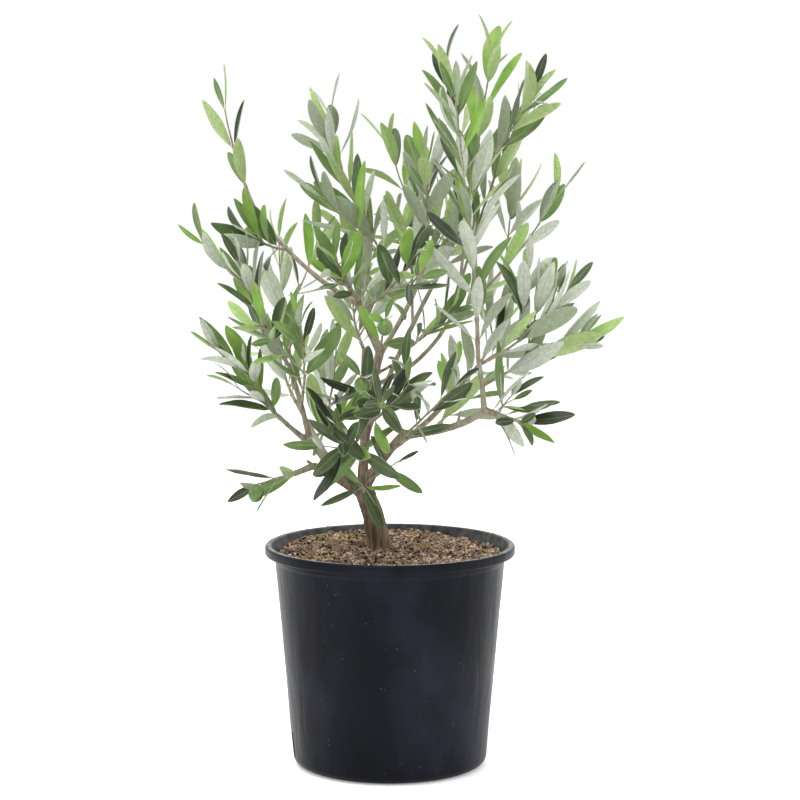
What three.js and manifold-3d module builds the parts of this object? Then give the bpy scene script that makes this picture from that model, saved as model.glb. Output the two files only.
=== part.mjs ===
// A young olive tree in a moulded nursery pot, as a three.js scene graph.
// Millimetres, +Z up. The origin is the centre of the pot's flat underside.
// The tree is a short leaning trunk, its boughs, and masses of foliage that start at the boughs.

import * as THREE from "three";
import { mergeVertices } from "three/addons/utils/BufferGeometryUtils.js";
import Module from "manifold-3d";

const wasm = await Module();
wasm.setup();

// ---- Driving dimensions -------------------------------------------------------------------

const CLEARANCE = 0.3; // left between any two pieces that meet
const GRID = 0.002; // every finished vertex lies on a multiple of this
const SEED = 2718; // of every random draw in the crown

const POT = {
  height: 213.9,
  rimRadius: 120,
  baseRadius: 92.6, // where the wall would meet the ground
  taper: 0.088, // outward lean of the wall, per unit of height
  footRadius: 82, // of the flat underside
  footRise: 9, // height of the rounded lower edge
  wall: 2.2,
  floor: 3,
  lipHeight: 9.5,
  lipThickness: 2.6,
  facets: 36,
};
const DRAIN_HOLES = { count: 6, radius: 6, ring: 60, facets: 8 };
const SIDE_SLOTS = { bearings: [190, 10], width: 12, bottom: 8, top: 33 };

const SOIL = { edge: 204, middle: 209, roughness: 1.1, facets: 30, rings: 4 };

const TRUNK = {
  foot: [-10, 4, 195],
  tip: [-28, 0, 272],
  bow: [8, 0, 4],
  radii: [10.2, 9.8],
  flare: 4.5, // extra radius at the foot
  flareLength: 0.16, // share of the trunk over which the flare fades
  crownShare: 0.16, // share of the trunk that is rounded over at the fork
  sides: 12,
  steps: 12,
};

// Each bough: the limb it grows on and how far along, the place of its tip, how far its middle
// is drawn aside from the straight line, and its radius at each end.
const BOUGHS = [
  { name: "left_bough", on: "trunk", at: 0.8,
    tip: [-73, -12, 291], bow: [-1, 0, 6], radii: [5.2, 3.8] },
  { name: "left_riser", on: "left_bough", at: 0.74,
    tip: [-81, -20, 318], bow: [8, 0, 3], radii: [3.4, 3] },
  { name: "far_left_limb", on: "left_riser", at: 1,
    tip: [-102, -38, 339], bow: [1, 1, -2], radii: [2.7, 2.2] },
  { name: "upper_left_limb", on: "left_riser", at: 0.82,
    tip: [-94, -34, 388], bow: [2, -4, 0], radii: [2.8, 2.3] },
  { name: "right_bough_low", on: "trunk", at: 0.94,
    tip: [13, -20, 322], bow: [-2, 0, 3], radii: [5, 4] },
  { name: "right_bough_high", on: "right_bough_low", at: 1,
    tip: [89, -84, 353], bow: [8, 0, -10], radii: [3.8, 3] },
  { name: "front_riser", on: "right_bough_high", at: 0.97,
    tip: [81, -102, 402], bow: [2, -2, 0], radii: [2.6, 2.2] },
  { name: "middle_limb", on: "trunk", at: 0.93,
    tip: [-9, 6, 400], bow: [-9, 1, 0], radii: [4.8, 4] },
  { name: "middle_left_fork", on: "middle_limb", at: 1,
    tip: [-30, -6, 449], bow: [-5, 0, 0], radii: [3.8, 3] },
  { name: "left_whip", on: "middle_left_fork", at: 0.9,
    tip: [-124, 18, 524], bow: [0, -6, -16], radii: [2.8, 1.8] },
  { name: "middle_right_fork", on: "middle_limb", at: 0.96,
    tip: [36, 26, 491], bow: [12, 0, 4], radii: [2.6, 2] },
  { name: "second_stem", on: "middle_limb", at: 0.34,
    tip: [47, 66, 467], bow: [-12, 10, -8], radii: [2.7, 2.1] },
  { name: "dark_branch", on: "middle_limb", at: 0.74,
    tip: [66, 60, 440], bow: [14, 4, -22], radii: [2.3, 1.8] },
  { name: "back_limb", on: "middle_limb", at: 0.5,
    tip: [-26, 78, 394], bow: [-4, 6, -14], radii: [2.8, 2] },
  { name: "back_left_limb", on: "left_bough", at: 0.5,
    tip: [-92, 56, 344], bow: [4, 8, -10], radii: [2.8, 2] },
  { name: "back_right_limb", on: "right_bough_low", at: 0.72,
    tip: [74, 62, 366], bow: [0, 10, -14], radii: [3, 2.1] },
];
const BOUGH_SIDES = 6;
const BOUGH_STEP = 24; // length of one straight piece of a bough

// Each mass of foliage: one stem that starts on a limb, the pairs of leaves along it and the
// place of the first, how long its leaves are, how far they stand off the stem and turn to the
// sky, the side twigs it carries, the seed of its draws, and where an olive hangs on it.
const MASSES = [
  { name: "low_left_spray", on: "left_bough", at: 1, tip: [-125, -43, 278], bow: [3, 4, -3],
    pairs: 3, first: 0.3, leaf: 46, spread: 54, lift: -0.1, twigs: 0, seed: 7,
    olive: { at: 0.98, side: [-0.2, -0.2, -0.9] } },
  { name: "far_left_spray", on: "far_left_limb", at: 1, tip: [-132, -88, 398], bow: [-4, 0, -8],
    pairs: 7, first: 0.05, leaf: 56, spread: 34, lift: 0, twigs: 2, seed: 7 },
  { name: "upper_left_spray", on: "upper_left_limb", at: 1, tip: [-138, -84, 490], bow: [-8, 0, -2],
    pairs: 7, first: 0.1, leaf: 54, spread: 34, lift: 0.1, twigs: 2, seed: 2 },
  { name: "left_back_spray", on: "upper_left_limb", at: 0.7, tip: [-108, 64, 504], bow: [-8, 20, 2],
    pairs: 5, first: 0.3, leaf: 54, spread: 40, lift: 0.3, twigs: 1, seed: 1 },
  { name: "lit_twig", on: "left_riser", at: 0.96, tip: [-36, -80, 352], bow: [4, -4, -4],
    pairs: 5, first: 0.22, leaf: 48, spread: 52, lift: 0.1, twigs: 1, seed: 5 },
  { name: "whip_tip", on: "left_whip", at: 1, tip: [-158, 40, 628], bow: [-6, 0, -6],
    pairs: 3, first: 0.3, leaf: 60, spread: 32, lift: 0.1, twigs: 0, seed: 3 },
  { name: "whip_spray", on: "left_whip", at: 0.7, tip: [-122, -32, 508], bow: [0, -6, -6],
    pairs: 3, first: 0.3, leaf: 64, spread: 46, lift: 0.3, twigs: 1, seed: 2 },
  { name: "upper_middle_spray", on: "middle_right_fork", at: 0.55, tip: [-62, 44, 600], bow: [-4, 0, -8],
    pairs: 8, first: 0.3, leaf: 60, spread: 42, lift: 0.2, twigs: 2, seed: 7 },
  { name: "inner_front_spray", on: "middle_left_fork", at: 1, tip: [-50, -74, 492], bow: [2, -6, -8],
    pairs: 5, first: 0.22, leaf: 52, spread: 46, lift: 0.2, twigs: 1, seed: 3 },
  { name: "inner_back_spray", on: "middle_left_fork", at: 0.86, tip: [-16, 66, 513], bow: [2, 8, -4],
    pairs: 5, first: 0.22, leaf: 52, spread: 46, lift: 0.2, twigs: 1, seed: 7 },
  { name: "crossing_spray", on: "middle_left_fork", at: 0.8, tip: [24, -104, 498], bow: [4, -4, -10],
    pairs: 6, first: 0.22, leaf: 56, spread: 44, lift: 0.1, twigs: 1, seed: 2 },
  { name: "whorl_spray", on: "middle_right_fork", at: 0.82, tip: [8, 108, 520], bow: [4, 4, -8],
    pairs: 5, first: 0.22, leaf: 52, spread: 48, lift: 0.2, twigs: 1, seed: 2 },
  { name: "middle_right_spray", on: "middle_right_fork", at: 1, tip: [36, 48, 578], bow: [0, -2, 0],
    pairs: 5, first: 0.22, leaf: 60, spread: 42, lift: 0.2, twigs: 1, seed: 5 },
  { name: "second_stem_spray", on: "second_stem", at: 1, tip: [72, 122, 518], bow: [0, 4, -8],
    pairs: 5, first: 0.22, leaf: 54, spread: 44, lift: 0.2, twigs: 1, seed: 5 },
  { name: "mid_right_spray", on: "second_stem", at: 0.52, tip: [60, 4, 442], bow: [4, 6, -6],
    pairs: 5, first: 0.25, leaf: 50, spread: 50, lift: 0.3, twigs: 1, seed: 2 },
  { name: "front_top_spray", on: "front_riser", at: 1, tip: [50, -98, 668], bow: [12, -8, 0],
    pairs: 13, first: 0.06, leaf: 60, spread: 38, lift: 0, twigs: 1, seed: 3 },
  { name: "back_top_spray", on: "dark_branch", at: 1, tip: [98, 46, 680], bow: [-4, 6, 0],
    pairs: 8, first: 0.22, leaf: 66, spread: 36, lift: 0, twigs: 1, seed: 6 },
  { name: "right_high_spray", on: "dark_branch", at: 0.94, tip: [130, 84, 628], bow: [-12, 8, 0],
    pairs: 6, first: 0.4, leaf: 64, spread: 28, lift: 0.1, twigs: 0, seed: 3 },
  { name: "right_back_spray", on: "dark_branch", at: 0.86, tip: [164, 112, 542], bow: [10, 0, -12],
    pairs: 5, first: 0.22, leaf: 58, spread: 38, lift: 0.3, twigs: 1, seed: 1 },
  { name: "right_upper_spray", on: "front_riser", at: 0.9, tip: [166, -40, 460], bow: [8, 4, -12],
    pairs: 5, first: 0.22, leaf: 56, spread: 34, lift: 0.3, twigs: 1, seed: 1 },
  { name: "right_tip_spray", on: "front_riser", at: 0.5, tip: [176, -24, 410], bow: [0, 8, 4],
    pairs: 5, first: 0.22, leaf: 70, spread: 40, lift: 0.35, twigs: 1, seed: 4 },
  { name: "right_low_spray", on: "right_bough_high", at: 1, tip: [122, -110, 346], bow: [4, 2, -3],
    pairs: 4, first: 0.15, leaf: 54, spread: 46, lift: 0.1, twigs: 2, seed: 4 },
  { name: "pale_spray", on: "right_bough_low", at: 0.8, tip: [60, -124, 380], bow: [-4, -8, -4],
    pairs: 5, first: 0.22, leaf: 52, spread: 52, lift: 0.2, twigs: 1, seed: 6 },
  { name: "right_inner_spray", on: "right_bough_high", at: 0.3, tip: [84, 12, 360], bow: [0, 10, 2],
    pairs: 5, first: 0.22, leaf: 50, spread: 50, lift: 0.2, twigs: 1, seed: 1 },
  { name: "foot_rosette", on: "trunk", at: 0.86, tip: [-27, -30, 276], bow: [0, 0, -3],
    pairs: 3, first: 0.6, leaf: 46, spread: 80, lift: -0.3, twigs: 0, seed: 3 },
  { name: "fork_twig", on: "trunk", at: 0.98, tip: [7, -36, 298], bow: [-2, -4, -2],
    pairs: 2, first: 0.75, leaf: 38, spread: 60, lift: -0.1, twigs: 0, seed: 2 },
  { name: "low_front_spray", on: "middle_limb", at: 0.26, tip: [-44, -92, 324], bow: [2, -8, -2],
    pairs: 6, first: 0.2, leaf: 64, spread: 58, lift: 0, twigs: 1, seed: 7 },
  { name: "mid_front_spray", on: "middle_limb", at: 0.46, tip: [18, -118, 382], bow: [0, -8, -8],
    pairs: 5, first: 0.22, leaf: 54, spread: 50, lift: 0.1, twigs: 1, seed: 7 },
  { name: "back_spray", on: "back_limb", at: 1, tip: [-38, 132, 440], bow: [-4, 10, -8],
    pairs: 5, first: 0.15, leaf: 56, spread: 46, lift: 0.2, twigs: 2, seed: 2 },
  { name: "back_left_spray", on: "back_left_limb", at: 1, tip: [-112, 116, 396], bow: [-4, 8, -8],
    pairs: 5, first: 0.15, leaf: 58, spread: 46, lift: 0.2, twigs: 2, seed: 3 },
  { name: "back_right_spray", on: "back_right_limb", at: 1, tip: [112, 112, 416], bow: [2, 8, -8],
    pairs: 5, first: 0.15, leaf: 56, spread: 46, lift: 0.2, twigs: 2, seed: 3 },
  { name: "back_high_spray", on: "second_stem", at: 0.7, tip: [30, 130, 556], bow: [-8, 14, -8],
    pairs: 6, first: 0.22, leaf: 54, spread: 44, lift: 0.2, twigs: 2, seed: 3 },
  { name: "front_left_spray", on: "upper_left_limb", at: 0.5, tip: [-80, -122, 436], bow: [6, -10, -8],
    pairs: 5, first: 0.22, leaf: 56, spread: 46, lift: 0.1, twigs: 1, seed: 1 },
  { name: "inner_left_spray", on: "left_riser", at: 0.6, tip: [-52, 36, 398], bow: [6, 6, -4],
    pairs: 5, first: 0.22, leaf: 52, spread: 46, lift: 0.2, twigs: 1, seed: 7 },
  { name: "fork_sprig", on: "middle_limb", at: 0.95, tip: [-4, -94, 438], bow: [0, -4, -4],
    pairs: 2, first: 0.4, leaf: 44, spread: 50, lift: 0.1, twigs: 0, seed: 6,
    olive: { at: 0.98, side: [0, -0.5, -0.4] } },
  { name: "front_sprig", on: "middle_limb", at: 0.64, tip: [-26, -114, 388], bow: [0, -6, -4],
    pairs: 3, first: 0.3, leaf: 48, spread: 60, lift: 0.1, twigs: 0, seed: 6,
    olive: { at: 0.98, side: [0.1, -0.5, -0.7] } },
];
const STEM = { foot: 1.9, tip: 1, sides: 3, step: 60 };
const TWIG = {
  share: 0.5, // length against the stem's
  spread: 44, // degrees off the stem
  first: 0.3, // place of the lowest along the stem
  last: 0.75,
  foot: 1.2,
  tip: 0.8,
  pairSpacing: 24,
  bend: 0.1, // how far the middle is drawn aside, against the length
  lift: 0.5, // pull of the twig's course towards the sky
};
const GOLDEN_ANGLE = 137.5;
const LEAF = {
  widthShare: 0.235, // of the length
  widthSpread: 0.25,
  thickShare: 0.028,
  widest: 0.52, // place of the widest point along the leaf
  arch: 0.07, // rise of the middle above the line from root to tip, against the length
  tipSpread: 0.55, // share of the spread that is left at the end of the stem
  tipShare: 0.7, // length of the last pair against the longest
  room: 14, // a leaf whose middle is nearer than this to another's is left out
  twist: 46, // degrees a blade may be turned about its midrib
  lengthSpread: 0.18,
};
const OLIVE = { length: 17, radius: 7.2, sunk: 1.2, facets: 8 };

const COLOURS = {
  pot: 0x2a2b31,
  soil: 0x6a5945,
  trunk: 0x5e5146,
  bough: 0x75685a,
  foliage: 0x67833a,
};

// ---- Small helpers ------------------------------------------------------------------------

const UP = new THREE.Vector3(0, 0, 1);
const vector = (place) => new THREE.Vector3(...place);

// A repeatable source of numbers from 0 to 1.
function randomFrom(seed) {
  let state = seed >>> 0;
  return () => {
    state = (Math.imul(state, 1664525) + 1013904223) >>> 0;
    return state / 4294967296;
  };
}

function solidOf(geometry) {
  const bare = new THREE.BufferGeometry();
  bare.setAttribute("position", geometry.getAttribute("position"));
  bare.setIndex(geometry.getIndex());
  const merged = mergeVertices(bare, 1e-3);
  return new wasm.Manifold(
    new wasm.Mesh({
      numProp: 3,
      vertProperties: merged.attributes.position.array,
      triVerts: new Uint32Array(merged.index.array),
    }),
  );
}

function geometryOf(solid) {
  const mesh = solid.getMesh();
  const geometry = new THREE.BufferGeometry();
  geometry.setAttribute("position", new THREE.BufferAttribute(mesh.vertProperties, 3));
  geometry.setIndex(new THREE.BufferAttribute(mesh.triVerts, 1));
  geometry.computeVertexNormals();
  return geometry;
}

// The largest body of a solid, with any hollow sealed inside it filled and loose scraps dropped.
function mainBody(solid) {
  const bodies = solid.decompose().filter((body) => body.volume() > 0);
  return bodies.reduce((best, body) => (body.volume() > best.volume() ? body : best));
}

// The solid with its vertices rounded to the grid, so that none lie almost in one place.
function settled(solid) {
  const geometry = geometryOf(solid);
  const numbers = geometry.getAttribute("position").array;
  for (let i = 0; i < numbers.length; i += 1) numbers[i] = Math.round(numbers[i] / GRID) * GRID;
  return mainBody(solidOf(geometry));
}

function touches(a, b) {
  const p = a.boundingBox();
  const q = b.boundingBox();
  const apart = [0, 1, 2].some((i) => p.min[i] > q.max[i] || p.max[i] < q.min[i]);
  return !apart && !a.intersect(b).isEmpty();
}

// What is left of a solid, clear of each of the others that it touches.
function clearOf(solid, others) {
  const near = others.filter((other) => touches(solid, other.keepOut));
  return near.reduce((left, other) => mainBody(left.subtract(other.keepOut)), solid);
}

// ---- Limbs --------------------------------------------------------------------------------

// A gentle curve from foot to tip whose middle is drawn aside by bow.
function bowedCurve(foot, tip, bow) {
  const middle = foot.clone().lerp(tip, 0.5).add(bow);
  return new THREE.QuadraticBezierCurve3(foot, middle, tip);
}

// A closed rod along a curve. The cylinder's rings are moved onto the curve, and each takes its
// own radius. With grow it stands that much proud all round and at both ends.
function rod(curve, radiusAt, sides, steps, grow = 0) {
  const shape = new THREE.CylinderGeometry(1, 1, 1, sides, steps);
  const frames = curve.computeFrenetFrames(steps, false);
  const places = shape.getAttribute("position");
  for (let i = 0; i < places.count; i += 1) {
    const along = places.getY(i) + 0.5;
    const ring = Math.round(along * steps);
    const radius = radiusAt(along) + grow;
    const place = curve.getPointAt(along);
    place.addScaledVector(frames.normals[ring], places.getX(i) * radius);
    place.addScaledVector(frames.binormals[ring], -places.getZ(i) * radius);
    if (ring === 0) place.addScaledVector(frames.tangents[ring], -grow);
    if (ring === steps) place.addScaledVector(frames.tangents[ring], grow);
    places.setXYZ(i, place.x, place.y, place.z);
  }
  return solidOf(shape);
}

function makeLimb(curve, radiusAt, sides, steps) {
  return {
    curve,
    radiusAt,
    solid: rod(curve, radiusAt, sides, steps),
    keepOut: rod(curve, radiusAt, sides, steps, CLEARANCE),
  };
}

function makeTrunk() {
  const curve = bowedCurve(vector(TRUNK.foot), vector(TRUNK.tip), vector(TRUNK.bow));
  const [foot, tip] = TRUNK.radii;
  const radiusAt = (along) => {
    const flare = TRUNK.flare * Math.max(0, 1 - along / (TRUNK.flareLength * 2)) ** 2;
    const over = Math.max(0, (along - 1 + TRUNK.crownShare) / TRUNK.crownShare);
    return (THREE.MathUtils.lerp(foot, tip, along) + flare) * Math.sqrt(1 - 0.8 * over ** 2);
  };
  return makeLimb(curve, radiusAt, TRUNK.sides, TRUNK.steps);
}

function makeBough(spec, limbs) {
  const parent = limbs.get(spec.on);
  const curve = bowedCurve(parent.curve.getPointAt(spec.at), vector(spec.tip), vector(spec.bow));
  const radiusAt = (along) => THREE.MathUtils.lerp(...spec.radii, along);
  const steps = Math.max(3, Math.round(curve.getLength() / BOUGH_STEP));
  const limb = makeLimb(curve, radiusAt, BOUGH_SIDES, steps);
  limb.solid = clearOf(limb.solid, [...limbs.values()]);
  return limb;
}

// ---- Foliage ------------------------------------------------------------------------------

// The chord line of a stem's rod, which its leaves and twigs start from.
function chordLine(curve, steps) {
  const line = new THREE.CurvePath();
  const ends = curve.getSpacedPoints(steps);
  for (let i = 0; i < steps; i += 1) line.add(new THREE.LineCurve3(ends[i], ends[i + 1]));
  return line;
}

function makeStem(curve, foot, tip) {
  const radiusAt = (along) => THREE.MathUtils.lerp(foot, tip, along);
  const steps = Math.max(2, Math.round(curve.getLength() / STEM.step));
  return {
    curve,
    core: chordLine(curve, steps),
    solid: rod(curve, radiusAt, STEM.sides, steps),
    keepOut: rod(curve, radiusAt, STEM.sides, steps, CLEARANCE),
  };
}

// The direction that leaves a stem at an angle, on one side of it, with a pull to the sky.
function outward(tangent, bearing, spread, lift) {
  const level = Math.abs(tangent.z) > 0.95 ? new THREE.Vector3(1, 0, 0) : UP;
  const side = new THREE.Vector3().crossVectors(level, tangent).normalize();
  side.applyAxisAngle(tangent, THREE.MathUtils.degToRad(bearing));
  const angle = THREE.MathUtils.degToRad(spread);
  const way = tangent.clone().multiplyScalar(Math.cos(angle));
  way.addScaledVector(side, Math.sin(angle));
  way.addScaledVector(UP, lift);
  return way.normalize();
}

// Side twigs by a seeded rule: evenly up the stem, each turned on from the last.
function sideTwigs(spec, stem, random) {
  const twigs = [];
  const length = stem.curve.getLength() * TWIG.share;
  for (let i = 0; i < spec.twigs; i += 1) {
    const share = spec.twigs > 1 ? i / (spec.twigs - 1) : 0.4;
    const along = THREE.MathUtils.lerp(TWIG.first, TWIG.last, share);
    const foot = stem.core.getPoint(along);
    const tangent = stem.curve.getTangentAt(along);
    const bearing = i * GOLDEN_ANGLE + random() * 360;
    const way = outward(tangent, bearing, TWIG.spread, TWIG.lift);
    const reach = length * (0.85 + 0.3 * random());
    const tip = foot.clone().addScaledVector(way, reach);
    const bow = tangent.clone().multiplyScalar(-reach * TWIG.bend);
    const pairs = Math.max(2, Math.round(reach / TWIG.pairSpacing));
    twigs.push({ ...makeStem(bowedCurve(foot, tip, bow), TWIG.foot, TWIG.tip), pairs, first: 0.4 });
  }
  return twigs;
}

// A leaf of eight faces: root, tip, the two edges, and the middle of each side.
function leafSolid(leaf, grow = 0) {
  const shape = new THREE.OctahedronGeometry(1, 0);
  const places = shape.getAttribute("position");
  const blade = new THREE.Matrix4().makeBasis(leaf.way, leaf.across, leaf.normal);
  blade.setPosition(leaf.root);
  for (let i = 0; i < places.count; i += 1) {
    const end = Math.round(places.getX(i));
    const along = end === 0 ? LEAF.widest : Number(end > 0);
    const place = new THREE.Vector3(
      leaf.length * along + grow * end,
      places.getY(i) * (leaf.width / 2 + grow),
      places.getZ(i) * (leaf.thickness / 2 + grow) + (end === 0 ? leaf.arch : 0),
    );
    place.applyMatrix4(blade);
    places.setXYZ(i, place.x, place.y, place.z);
  }
  return solidOf(shape);
}

// Opposite pairs of leaves up a stem, each pair turned a quarter from the one below it.
function leavesOn(stem, spec, random) {
  const leaves = [];
  const start = random() * 360;
  const { pairs, first } = stem;
  for (let pair = 0; pair < pairs; pair += 1) {
    const share = pairs > 1 ? pair / (pairs - 1) : 1;
    const along = THREE.MathUtils.lerp(first, 0.985, share);
    const root = stem.core.getPoint(along);
    const tangent = stem.curve.getTangentAt(along);
    const shorter = THREE.MathUtils.lerp(1, LEAF.tipShare, share ** 3);
    for (const side of [0, 180]) {
      const bearing = start + pair * 90 + side + (random() - 0.5) * 40;
      const closing = THREE.MathUtils.lerp(1, LEAF.tipSpread, share);
      const way = outward(tangent, bearing, spec.spread * closing * (0.75 + 0.5 * random()), spec.lift);
      const vary = 1 + (random() - 0.5) * 2 * LEAF.lengthSpread;
      const length = spec.leaf * vary * shorter;
      const across = new THREE.Vector3().crossVectors(way, tangent).normalize();
      across.applyAxisAngle(way, THREE.MathUtils.degToRad((random() - 0.5) * 2 * LEAF.twist));
      leaves.push({
        root,
        way,
        across,
        normal: new THREE.Vector3().crossVectors(way, across),
        length,
        width: length * LEAF.widthShare * (1 + (random() - 0.5) * 2 * LEAF.widthSpread),
        thickness: length * LEAF.thickShare,
        arch: length * LEAF.arch * (random() * 1.6 - 0.5),
      });
    }
  }
  return leaves;
}

function oliveSolid(spec, stem, grow = 0) {
  const shape = new THREE.SphereGeometry(1, OLIVE.facets, OLIVE.facets - 2);
  const side = vector(spec.side).normalize();
  const middle = stem.curve.getPointAt(spec.at);
  middle.addScaledVector(side, OLIVE.length / 2 - OLIVE.sunk);
  const turn = new THREE.Quaternion().setFromUnitVectors(new THREE.Vector3(0, 1, 0), side);
  const size = new THREE.Vector3(OLIVE.radius + grow, OLIVE.length / 2 + grow, OLIVE.radius + grow);
  shape.applyMatrix4(new THREE.Matrix4().compose(middle, turn, size));
  return solidOf(shape);
}

// The wood of every mass first, then the leaves, so that no leaf lies in another mass's wood.
function growCrown(limbs) {
  const stems = [...limbs.values()];
  const masses = MASSES.map((spec, number) => {
    const random = randomFrom(SEED * spec.seed + number * 101);
    const foot = limbs.get(spec.on).curve.getPointAt(spec.at);
    const stem = makeStem(bowedCurve(foot, vector(spec.tip), vector(spec.bow)), STEM.foot, STEM.tip);
    const solid = clearOf(stem.solid, stems);
    stems.push(stem);
    return { spec, random, stem, pieces: [{ solid, keepOut: stem.keepOut }] };
  });
  const isFree = (keepOut, mass) => {
    const inLimb = [...limbs.values()].some((limb) => touches(keepOut, limb.solid));
    const inMass = (other) => other !== mass && other.pieces.some((piece) => touches(keepOut, piece.solid));
    return !inLimb && !masses.some(inMass);
  };
  for (const mass of masses) {
    const { spec, stem, random } = mass;
    const twigs = sideTwigs(spec, stem, random).filter((twig) => isFree(twig.keepOut, mass));
    mass.pieces.push(...twigs);
    mass.leafy = [{ ...stem, pairs: spec.pairs, first: spec.first }, ...twigs];
    if (spec.olive) {
      const keepOut = oliveSolid(spec.olive, stem, CLEARANCE);
      if (isFree(keepOut, mass)) mass.pieces.push({ solid: oliveSolid(spec.olive, stem), keepOut });
    }
  }
  for (const mass of masses) {
    const middles = [];
    for (const stem of mass.leafy) {
      for (const leaf of leavesOn(stem, mass.spec, mass.random)) {
        const middle = leaf.root.clone().addScaledVector(leaf.way, leaf.length / 2);
        if (middles.some((other) => other.distanceTo(middle) < LEAF.room)) continue;
        middles.push(middle);
        const keepOut = leafSolid(leaf, CLEARANCE);
        if (isFree(keepOut, mass)) mass.pieces.push({ solid: leafSolid(leaf), keepOut });
      }
    }
  }
  return masses;
}

// Twigs, leaves and fruit joined into one solid.
function fuse([stem, ...others]) {
  return others.reduce((whole, piece) => whole.add(piece.solid), stem.solid);
}

// ---- Pot and soil -------------------------------------------------------------------------

const wallRadius = (height) => POT.baseRadius + POT.taper * height;

function makePot() {
  const lipFoot = POT.height - POT.lipHeight;
  const neck = wallRadius(lipFoot);
  const profile = [
    [0, 0],
    [POT.footRadius, 0],
    [POT.footRadius + 6, 1.6],
    [wallRadius(POT.footRise) - 0.9, 5],
    [wallRadius(POT.footRise), POT.footRise],
    [neck, lipFoot - 2],
    [neck + 2.6, lipFoot],
    [POT.rimRadius - 1.6, lipFoot + 1],
    [POT.rimRadius, lipFoot + 3],
    [POT.rimRadius, POT.height - 3.2],
    [POT.rimRadius - 1.2, POT.height - 0.8],
    [POT.rimRadius - 3, POT.height],
    [POT.rimRadius - 3 - POT.lipThickness, POT.height - 1],
    [neck + 1.2, lipFoot + 1.5],
    [neck - POT.wall, lipFoot - 3],
    [wallRadius(POT.footRise) - POT.wall, POT.footRise],
    [wallRadius(POT.footRise) - POT.wall - 4, POT.floor],
    [0, POT.floor],
  ];
  const points = profile.map(([radius, height]) => new THREE.Vector2(radius, height));
  const shape = new THREE.LatheGeometry(points, POT.facets);
  shape.rotateX(Math.PI / 2);
  return drained(solidOf(shape));
}

function drained(pot) {
  let left = pot;
  const { count, radius, ring, facets } = DRAIN_HOLES;
  for (let i = 0; i < count; i += 1) {
    const bearing = ((i + 0.5) / count) * 2 * Math.PI;
    const hole = new THREE.CylinderGeometry(radius, radius, POT.floor * 4, facets);
    hole.rotateX(Math.PI / 2);
    hole.translate(ring * Math.cos(bearing), ring * Math.sin(bearing), 0);
    left = left.subtract(solidOf(hole));
  }
  const { bearings, width, bottom, top } = SIDE_SLOTS;
  for (const bearing of bearings) {
    const slot = new THREE.BoxGeometry(20, width, top - bottom);
    slot.translate(wallRadius(bottom), 0, (top + bottom) / 2);
    slot.rotateZ(THREE.MathUtils.degToRad(bearing));
    left = left.subtract(solidOf(slot));
  }
  return left;
}

// The soil fills the pot and is a little heaped and uneven on top.
function makeSoil(trunk) {
  const random = randomFrom(SEED);
  const topRadius = wallRadius(SOIL.edge) - POT.wall - CLEARANCE * 2;
  const footRadius = wallRadius(POT.footRise) - POT.wall - CLEARANCE * 2;
  const floor = POT.floor + CLEARANCE;
  const heightAt = (share) => THREE.MathUtils.lerp(SOIL.middle, SOIL.edge, share ** 2);
  const profile = [new THREE.Vector2(0, floor)];
  profile.push(new THREE.Vector2(footRadius - 5, floor));
  profile.push(new THREE.Vector2(footRadius, POT.footRise + 1));
  for (let ring = SOIL.rings; ring >= 0; ring -= 1) {
    const share = ring / SOIL.rings;
    profile.push(new THREE.Vector2(topRadius * share, heightAt(share)));
  }
  const shape = new THREE.LatheGeometry(profile, SOIL.facets);
  shape.rotateX(Math.PI / 2);
  shape.deleteAttribute("uv");
  shape.deleteAttribute("normal");
  const merged = mergeVertices(shape, 1e-3);
  const places = merged.getAttribute("position");
  for (let i = 0; i < places.count; i += 1) {
    const reach = Math.hypot(places.getX(i), places.getY(i));
    const onTop = places.getZ(i) > SOIL.edge + 0.01 && reach < topRadius - 1;
    if (onTop) places.setZ(i, places.getZ(i) + (random() - 0.5) * 2 * SOIL.roughness);
  }
  return solidOf(merged).subtract(trunk.keepOut);
}

// ---- The tree -----------------------------------------------------------------------------

function addPiece(group, name, solid, colour, roughness) {
  const material = new THREE.MeshStandardMaterial({ color: colour, roughness, metalness: 0 });
  material.flatShading = true;
  const mesh = new THREE.Mesh(geometryOf(settled(solid)), material);
  mesh.name = name;
  group.add(mesh);
}

function makeTree() {
  const limbs = new Map([["trunk", makeTrunk()]]);
  for (const spec of BOUGHS) limbs.set(spec.name, makeBough(spec, limbs));

  const container = new THREE.Group();
  addPiece(container, "pot", makePot(), COLOURS.pot, 0.42);
  addPiece(container, "soil", makeSoil(limbs.get("trunk")), COLOURS.soil, 0.98);

  const wood = new THREE.Group();
  for (const [name, limb] of limbs) {
    addPiece(wood, name, limb.solid, name === "trunk" ? COLOURS.trunk : COLOURS.bough, 0.9);
  }

  const crown = new THREE.Group();
  for (const mass of growCrown(limbs)) {
    addPiece(crown, mass.spec.name, fuse(mass.pieces), COLOURS.foliage, 0.55);
  }

  const tree = new THREE.Group();
  tree.add(container, wood, crown);
  return tree;
}

export default makeTree();
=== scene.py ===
"""A young olive tree in a nursery pot: every visible piece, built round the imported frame.

The crown grows by one seeded rule from named stems, as the frame's solids do, and goes on from
there to finer shoots, true leaf outlines, bark, fruit, loose soil and a moulded pot.
"""

import math
from functools import lru_cache
from typing import NamedTuple

import bpy
import numpy as np
from bpy.props import FloatProperty, FloatVectorProperty, IntProperty, PointerProperty
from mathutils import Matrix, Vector, noise
from mathutils.kdtree import KDTree


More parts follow.
